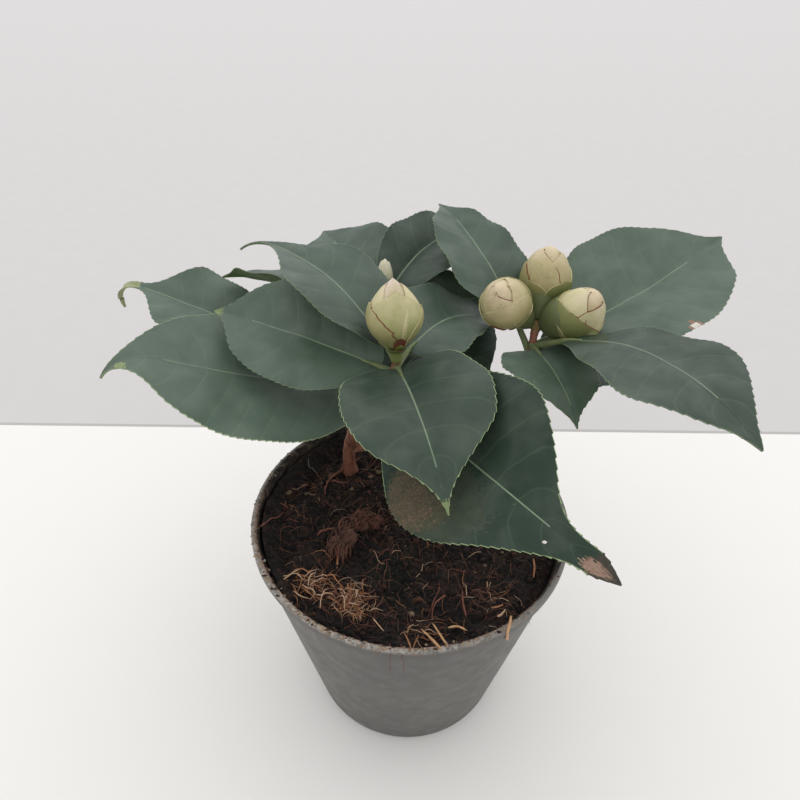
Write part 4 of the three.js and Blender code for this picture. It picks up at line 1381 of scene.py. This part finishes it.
def leaf_finishes():
    """The leaves' finishes, in the order of their tones. The first five are one green in lighter
    and darker copies, each leaf given the one that matches how bright it shows in its light:
    the paler copies are painted light and the darker ones painted shade, and the deep and
    shaded copies also have less sheen.
    """
    dust = (138, 146, 134)
    return [
        leaf_finish("leaf_deep_green", (38, 55, 42), (47, 64, 49), dust, 0.42),
        leaf_finish("leaf_grey_green", (50, 68, 54), (61, 79, 63), dust),
        leaf_finish("leaf_dark_green", (40, 57, 44), (49, 67, 51), dust),
        leaf_finish("leaf_lit_pale_green", (65, 83, 67), (78, 95, 79), dust),
        leaf_finish("leaf_shaded_green", (33, 49, 38), (43, 59, 46), dust, 0.22),
        plain_finish("leaf_underside", (80, 100, 62), (98, 118, 78), 7, 0.6),
        plain_finish("leaf_rib", (94, 112, 88), (122, 138, 110), 9, 0.5),
        plain_finish("leaf_margin", (80, 98, 72), (110, 126, 92), 3, 0.55),
        plain_finish("leaf_margin_pale", (112, 130, 86), (146, 160, 116), 3, 0.55),
        plain_finish("leaf_lime", (102, 118, 76), (132, 144, 94), 4, 0.55),
        plain_finish("leaf_brown", (44, 42, 33), (64, 56, 44), 2, 0.75),
        plain_finish("leaf_dried", (120, 94, 78), (152, 124, 106), 2, 0.8),
        plain_finish("leaf_bronze", (64, 65, 50), (76, 76, 58), 2, 0.65, Specular_IOR_Level=0.22),
        freckled_finish("leaf_rust", (76, 70, 55), (90, 80, 64), (126, 100, 78)),
        plain_finish("leaf_chalk", (196, 190, 180), (214, 208, 198), 1, 0.8),
        plain_finish("leaf_stalk", (96, 108, 70), (118, 128, 84), 3, 0.55),
        plain_finish("leaf_tarnish", (50, 60, 48), (62, 69, 55), 3, 0.6, Specular_IOR_Level=0.22),
        plain_finish("leaf_pale_lime", (128, 134, 92), (152, 156, 114), 4, 0.6),
    ]


def seeded_shares(seed):
    """The source's own small random sequence, 0 to 1."""
    state = seed
    while True:
        state = state * RANDOM_FACTOR % RANDOM_LIMIT
        yield state / RANDOM_LIMIT


def leaves_behind(mass, shares):
    """The leaves on the far side, from the stem's foot up, as the source's rule places them."""
    rule = mass["behind"]
    span = rule["head"][1] - rule["head"][0]
    made = []
    for i in range(rule["count"]):
        rise, length, width, droop = (2 * next(shares) - 1 for _ in range(4))
        low, high = rule["along"]
        node = low + (high - low) * i / (rule["count"] - 1)
        made.append({
            "from": tuple(catmull_rom(mass["stem"], [node])[0]),
            "head": rule["head"][0] + (i * GOLDEN_ANGLE) % span,
            "rise": rule["rise"] + RISE_VARIES * rise,
            "length": rule["length"] * (1 + LENGTH_VARIES * length),
            "width": rule["width"] * (1 + WIDTH_VARIES * width),
            "droop": BEHIND_DROOP + DROOP_VARIES * droop,
            "stalk": BEHIND_STALK, "tone": ("deep", "grey", "dark")[i % 3],
        })
    return [made[i] for i in rule["kept"]]


def make_leaves():
    finishes = leaf_finishes()
    shares = seeded_shares(SEED)
    seed = 1
    for name, mass in MASSES.items():
        builder = Builder()
        for given in mass["leaves"] + leaves_behind(mass, shares):
            leaf = {**PLAIN_LEAF, **given}
            add_blade(builder, leaf, seed)
            add_petiole(builder, leaf)
            seed += 1
        builder.make(name.replace("foliage", "leaves"), finishes, "leaf", name)


def make_twigs():
    """The stems of the masses, with rings where leaves were and the short necks of the buds."""
    builder = Builder()
    for order, mass in enumerate(MASSES.values()):
        stem = catmull_rom(mass["stem"], np.linspace(0, STEM_END, STEM_STEPS))
        stem[0] -= STEM_OVERLAP * unit(stem[1] - stem[0])

        def relief(angles, places, order=order):
            knots = 0.22 * np.exp(-((places[:, 2:] % 9 - 4.5) / 0.9) ** 2)
            spots = places[:, None] + np.stack([np.cos(angles), np.sin(angles), 0 * angles], -1)
            return knots + 0.1 * noise_at(spots, 1.4, 20 + order, 2)

        add_tube(builder, stem, np.linspace(*mass["radii"], STEM_STEPS), STEM_SIDES, 0, relief)
        for bud in mass["buds"]:
            axis = unit(np.array(bud["lean"], float))
            at = np.array(bud["at"], float)
            path = [at + axis * bud["stalk"] * share for share in np.linspace(-0.2, 1.3, NECK_STEPS)]
            add_tube(builder, path, np.linspace(1.3, 1.7, NECK_STEPS), NECK_SIDES, 1)
    finishes = [
        bark_finish("twig_red_brown", (108, 64, 50), (152, 100, 78)),
        plain_finish("twig_green_brown", (112, 96, 60), (140, 122, 78), 2.5, 0.65),
    ]
    builder.make("twigs", finishes, "bark")


def bud_frame(bud):
    """The bud's foot, the axis of its scales, the way their zero turn faces and the way that a
    positive turn goes. A round bud's scales may meet aside of its stalk, at its own crown."""
    lean = unit(np.array(bud["lean"], float))
    axis = unit(np.array(bud.get("crown", bud["lean"]), float))
    middle = np.array(bud["at"], float) + lean * (bud["stalk"] + bud["length"] / 2)
    front = np.array(BUD_FACING, float)
    front = unit(front - axis * np.dot(front, axis))
    return middle - axis * bud["length"] / 2, axis, front, np.cross(axis, front)


def bud_points(bud, angles, t, layer):
    """Points a layer's thickness off the bud's body, t of the way up it."""
    foot, axis, front, right = bud_frame(bud)
    plump = np.abs(np.sin(np.pi * np.clip(t, 0, 1) ** bud["lowness"])) ** bud["fullness"]
    radius = bud["width"] / 2 * BUD_SHRINK * plump + layer
    return (
        foot + axis * (bud["length"] * t)[..., None]
        + front * (radius * np.cos(angles))[..., None] + right * (radius * np.sin(angles))[..., None]
    )


def add_heart(builder, bud, tone):
    """The bud's body under its scales."""
    t = np.linspace(0.004, 0.99, HEART_ROWS)
    grid_t = np.repeat(t[:, None], HEART_SIDES, 1)
    angles = np.repeat(2 * np.pi * np.arange(HEART_SIDES)[None] / HEART_SIDES, HEART_ROWS, 0)
    points = bud_points(bud, angles, grid_t, -0.3)
    spots = np.stack([np.zeros_like(grid_t), grid_t], -1).reshape(-1, 2)
    builder.add(points, tube_faces(HEART_ROWS, HEART_SIDES), tone, spots)


def add_cup(builder, bud):
    """The green foot that widens from a round bud's stalk into its body."""
    near, narrow, far, broad = bud["cup"]
    lean = unit(np.array(bud["lean"], float))
    shares = np.linspace(0, 1, CUP_STEPS)
    path = np.array(bud["at"], float) + lean * (near + (far - near) * shares)[:, None]
    radii = narrow + (broad - narrow) * np.sin(np.pi / 2 * shares) ** 0.9
    add_tube(builder, path, radii, CUP_SIDES, BUD_TONES["olive"])


def scale_grid(scale, seed):
    """The angle and the height of each point of a scale, in rows from its foot to its crown."""
    v = np.append(1 - (1 - np.linspace(0, 1, 24)[:-1]) ** 1.5, [1 - 0.5 * RIM_WIDTH, 1])[:, None]
    v = np.sort(v, axis=0)
    inner = np.linspace(-1 + RIM_WIDTH, 1 - RIM_WIDTH, 25)
    a = np.concatenate([[-1], inner, [1]])[None]
    wide = (1 - np.clip((v - 0.35) / 0.65, 0, 1) ** scale.get("point", 2.2)) ** 0.55
    wide = np.maximum(wide * (0.8 + 0.2 * smoothstep(v, 0, 0.35)), 0.02)
    spots = np.stack([9 * v * np.ones_like(a), np.sign(a) * np.ones_like(v), np.zeros_like(v * a)], -1)
    jag = noise_at(spots, 1, 60 + seed, 3) * np.abs(a) ** 3
    left, right = scale.get("jag", (1.5, 1.5))
    ragged = np.where(a < 0, left, right) * jag * (1 - v ** 6)
    angles = np.radians(scale["turn"] + scale["spread"] * wide * a + ragged)
    foot = scale.get("foot", 0.005)
    crown = scale["reach"] * (1 - 0.03 * a ** 2)
    return angles, foot + (crown - foot) * v, v, a


def add_scale(builder, bud, scale, seed):
    """One overlapping scale: a curved shell with a round free edge that stands a little off."""
    angles, t, v, a = scale_grid(scale, seed)
    rows, columns = angles.shape
    rim = np.maximum(smoothstep(np.abs(a), 0.6, 1) * np.ones_like(v), smoothstep(v, 0.7, 1) * np.ones_like(a))
    layer = scale["layer"] + scale.get("lift", 0.2) * rim
    outer = bud_points(bud, angles, t, layer)
    inner = bud_points(bud, angles, t, layer - SCALE_THICKNESS)
    ring = np.concatenate([outer, inner[:, ::-1]], axis=1)
    faces = sheet_faces(rows, columns)
    left, right, crown = (BUD_TONES[tone] for tone in scale["rims"])
    tones = np.full((rows - 1, 2 * columns), BUD_TONES[scale["tone"]])
    tones[:, [0, 2 * columns - 1, 2 * columns - 2]] = left
    tones[:, [columns - 2, columns - 1, columns]] = right
    tones[-1:, :] = crown
    ends = np.full(len(faces) - tones.size, crown)
    upward = np.concatenate([t, t[:, ::-1]], 1)
    spots = np.stack([np.zeros_like(upward), upward], -1).reshape(-1, 2)
    builder.add(ring, faces, np.concatenate([tones.ravel(), ends]), spots)


BUD_TONES = {
    "heart": 0, "inner": 1, "front": 2, "outer": 3, "basal": 4, "pale": 5, "brown": 6,
    "round": 7, "round_outer": 8, "olive": 9, "chip": 10, "lime": 11,
}
PLAIN_RIMS = ("inner", "inner", "inner")
PALE_RIMS = ("pale", "pale", "pale")
BROWN_RIMS = ("brown", "brown", "brown")


def scale_rule(turn, spread, reach, layer, tone, rims=PLAIN_RIMS, **more):
    """A scale: where it is turned to, seen by the camera, how far it spreads to each side, how
    high it reaches, which layer it lies in, its tone and those of its left, right and top rims."""
    return {
        "turn": turn, "spread": spread, "reach": reach, "layer": layer, "tone": tone, "rims": rims, **more,
    }


# The scales of each kind of bud, from the inside out.
BUD_SCALES = {
    "tall": [
        scale_rule(180, 80, 0.95, 0, "inner"),
        scale_rule(-80, 72, 0.94, 0.05, "inner"),
        scale_rule(85, 72, 0.92, 0.15, "inner"),
        scale_rule(8, 74, 0.87, 0.3, "front", PALE_RIMS, point=5),
        scale_rule(185, 62, 0.6, 0.5, "outer"),
        scale_rule(-80, 80, 0.7, 0.5, "outer", ("pale", "brown", "pale"), jag=(2, 11)),
        scale_rule(95, 66, 0.62, 0.55, "outer", ("pale", "brown", "pale"), jag=(6, 2)),
        scale_rule(12, 20, 0.33, 0.5, "brown", BROWN_RIMS, jag=(6, 6)),
        scale_rule(-60, 34, 0.2, 0.8, "basal"),
        scale_rule(120, 40, 0.2, 0.8, "basal"),
        scale_rule(16, 22, 0.2, 0.85, "basal", ("basal", "brown", "pale")),
        scale_rule(-8, 70, 0.12, 1.85, "lime", ("lime", "brown", "lime"), foot=-0.13, lift=0.3),
    ],
    "round": [
        scale_rule(180, 84, 0.98, 0, "round", point=4),
        scale_rule(-65, 84, 0.975, 0.1, "round", ("round", "brown", "brown"), point=4, jag=(2, 5)),
        scale_rule(60, 88, 0.93, 0.25, "round", ("pale", "round", "round"), point=4),
        scale_rule(-30, 76, 0.82, 0.4, "round", ("pale", "round", "round"), point=5),
        scale_rule(105, 50, 0.66, 0.55, "round_outer", PALE_RIMS),
        scale_rule(215, 60, 0.56, 0.6, "olive"),
        scale_rule(-75, 18, 0.42, 0.6, "brown", BROWN_RIMS, jag=(5, 5)),
        scale_rule(10, 60, 0.3, 0.75, "round_outer", ("round", "pale", "round")),
    ],
    "seamed": [
        scale_rule(180, 84, 0.98, 0, "round", point=4),
        scale_rule(-60, 84, 0.97, 0.1, "round", ("round", "brown", "brown"), point=4, jag=(2, 4)),
        scale_rule(60, 88, 0.94, 0.25, "round", ("round", "round", "pale"), point=4),
        scale_rule(-95, 52, 0.74, 0.4, "round_outer", ("round", "brown", "pale"), jag=(2, 8)),
        scale_rule(110, 56, 0.7, 0.4, "round_outer"),
        scale_rule(-50, 46, 0.52, 0.6, "round_outer", ("round", "pale", "pale"), point=4),
        scale_rule(36, 46, 0.54, 0.65, "olive", PALE_RIMS, point=4),
        scale_rule(180, 60, 0.45, 0.6, "olive"),
    ],
    "torn": [
        scale_rule(180, 84, 0.97, 0, "round", point=4),
        scale_rule(-60, 80, 0.96, 0.05, "inner", ("inner", "brown", "brown"), point=4, jag=(3, 6)),
        scale_rule(70, 80, 0.94, 0.2, "inner", ("brown", "inner", "brown"), point=4, jag=(6, 3)),
        scale_rule(-110, 60, 0.66, 0.4, "olive", ("olive", "pale", "pale")),
        scale_rule(105, 54, 0.62, 0.4, "round_outer", ("round", "inner", "pale")),
        scale_rule(-4, 86, 0.66, 0.55, "olive", ("pale", "brown", "brown"), point=5, jag=(3, 8)),
        scale_rule(190, 60, 0.5, 0.6, "olive"),
        scale_rule(-40, 54, 0.36, 0.85, "outer", PALE_RIMS),
    ],
    "small": [
        scale_rule(180, 84, 0.97, 0, "chip", point=5),
        scale_rule(-60, 80, 0.95, 0.05, "chip", point=5),
        scale_rule(60, 80, 0.92, 0.15, "chip", point=5),
        scale_rule(10, 70, 0.4, 0.35, "olive"),
        scale_rule(190, 70, 0.4, 0.35, "olive"),
    ],
}


def make_buds():
    builder = Builder()
    seed = 0
    for mass in MASSES.values():
        for given in mass["buds"]:
            bud = {**PLAIN_BUD, **given}
            add_heart(builder, bud, BUD_TONES[bud["heart"]])
            if "cup" in bud:
                add_cup(builder, bud)
            for scale in BUD_SCALES[bud["scales"]]:
                add_scale(builder, bud, scale, seed)
                seed += 1
    finishes = [
        bud_finish("bud_heart", (122, 124, 80), (168, 162, 116), (196, 182, 150), (216, 198, 184)),
        bud_finish("bud_inner", (132, 136, 88), (176, 170, 122), (200, 190, 150), (212, 196, 170)),
        bud_finish("bud_front", (122, 128, 76), (150, 150, 98), (182, 174, 130), (208, 198, 160)),
        bud_finish("bud_outer", (126, 126, 82), (150, 146, 98), (180, 170, 126), (198, 184, 144)),
        bud_finish("bud_basal", (126, 136, 64), (144, 150, 78), (144, 150, 78), (150, 150, 90)),
        plain_finish("bud_rim_pale", (166, 158, 114), (192, 180, 138), 2, 0.6),
        plain_finish("bud_rim_brown", (92, 46, 30), (130, 70, 46), 1.5, 0.7),
        bud_finish("bud_round", (128, 128, 80), (158, 148, 102), (188, 174, 134), (208, 188, 158)),
        bud_finish("bud_round_outer", (116, 118, 72), (142, 138, 90), (170, 158, 114), (186, 170, 130)),
        bud_finish("bud_olive", (92, 100, 62), (120, 124, 74), (140, 138, 88), (156, 148, 100)),
        bud_finish("bud_chip", (160, 158, 118), (190, 184, 152), (206, 200, 174), (212, 206, 184)),
        bud_finish("bud_lime", (112, 122, 66), (132, 140, 78), (132, 140, 78), (128, 132, 76)),
    ]
    builder.make("buds", finishes, "bud")


def make_stage():
    """A big pale floor in two boards, with a darker strip between them behind the pot: a painted
    shadow line, like the shade along a wall's foot.
    """
    for name, front, back, colour in (
        ("floor_near", STAGE_NEAR, SHADOW_LINE_START, (228, 224, 220)),
        # The darker strip is a painted shadow line.
        ("floor_shadow_line", SHADOW_LINE_START, SHADOW_LINE_START + SHADOW_LINE_WIDTH, (172, 167, 165)),
        ("floor_far", SHADOW_LINE_START + SHADOW_LINE_WIDTH, STAGE_FAR, (195, 190, 189)),
    ):
        corners = [(-STAGE_SIDE, front), (STAGE_SIDE, front), (STAGE_SIDE, back), (-STAGE_SIDE, back)]
        mesh = bpy.data.meshes.new(name)
        mesh.from_pydata([(x * MM, y * MM, -FLOOR_DROP * MM) for x, y in corners], [], [(0, 1, 2, 3)])
        mesh.materials.append(plain_finish(name, colour, colour, 40, 0.7, 0.05))
        board = bpy.data.objects.new(name, mesh)
        bpy.context.scene.collection.objects.link(board)


def make_light():
    """Soft room light from all round, brightest overhead and from the pale wall behind."""
    world = bpy.data.worlds.new("soft_room")
    bpy.context.scene.world = world
    world.use_nodes = True
    tree = world.node_tree
    background = tree.nodes["Background"]
    background.inputs["Color"].default_value = ROOM_COLOUR
    place = tree.nodes.new("ShaderNodeTexCoord")
    split = tree.nodes.new("ShaderNodeSeparateXYZ")
    tree.links.new(place.outputs["Generated"], split.inputs["Vector"])
    value = ROOM_LIGHT
    for axis, gain in (("Y", ROOM_BEHIND), ("Z", ROOM_OVERHEAD)):
        step = tree.nodes.new("ShaderNodeMath")
        step.operation = "MULTIPLY_ADD"
        tree.links.new(split.outputs[axis], step.inputs[0])
        step.inputs[1].default_value = gain
        if isinstance(value, bpy.types.NodeSocket):
            tree.links.new(value, step.inputs[2])
        else:
            step.inputs[2].default_value = value
        value = step.outputs["Value"]
    least = tree.nodes.new("ShaderNodeMath")
    least.operation = "MAXIMUM"
    tree.links.new(value, least.inputs[0])
    least.inputs[1].default_value = ROOM_LEAST
    tree.links.new(least.outputs["Value"], background.inputs["Strength"])
    bpy.context.scene.view_settings.view_transform = "Standard"


def make_camera():
    right, upward, ahead = camera_turns()
    camera = bpy.data.objects.new("camera", bpy.data.cameras.new("camera"))
    camera.data.lens = CAMERA_LENS
    camera.data.sensor_width = CAMERA_SENSOR
    turned = Matrix((right, upward, -ahead)).transposed()
    camera.matrix_world = Matrix.Translation(Vector(CAMERA_PLACE) * MM) @ turned.to_4x4()
    camera.data.clip_start = 0.01
    bpy.context.scene.collection.objects.link(camera)
    bpy.context.scene.camera = camera


make_pot()
make_soil()
make_fibres()
make_bark()
make_leaves()
make_twigs()
make_buds()
make_stage()
make_light()
make_camera()
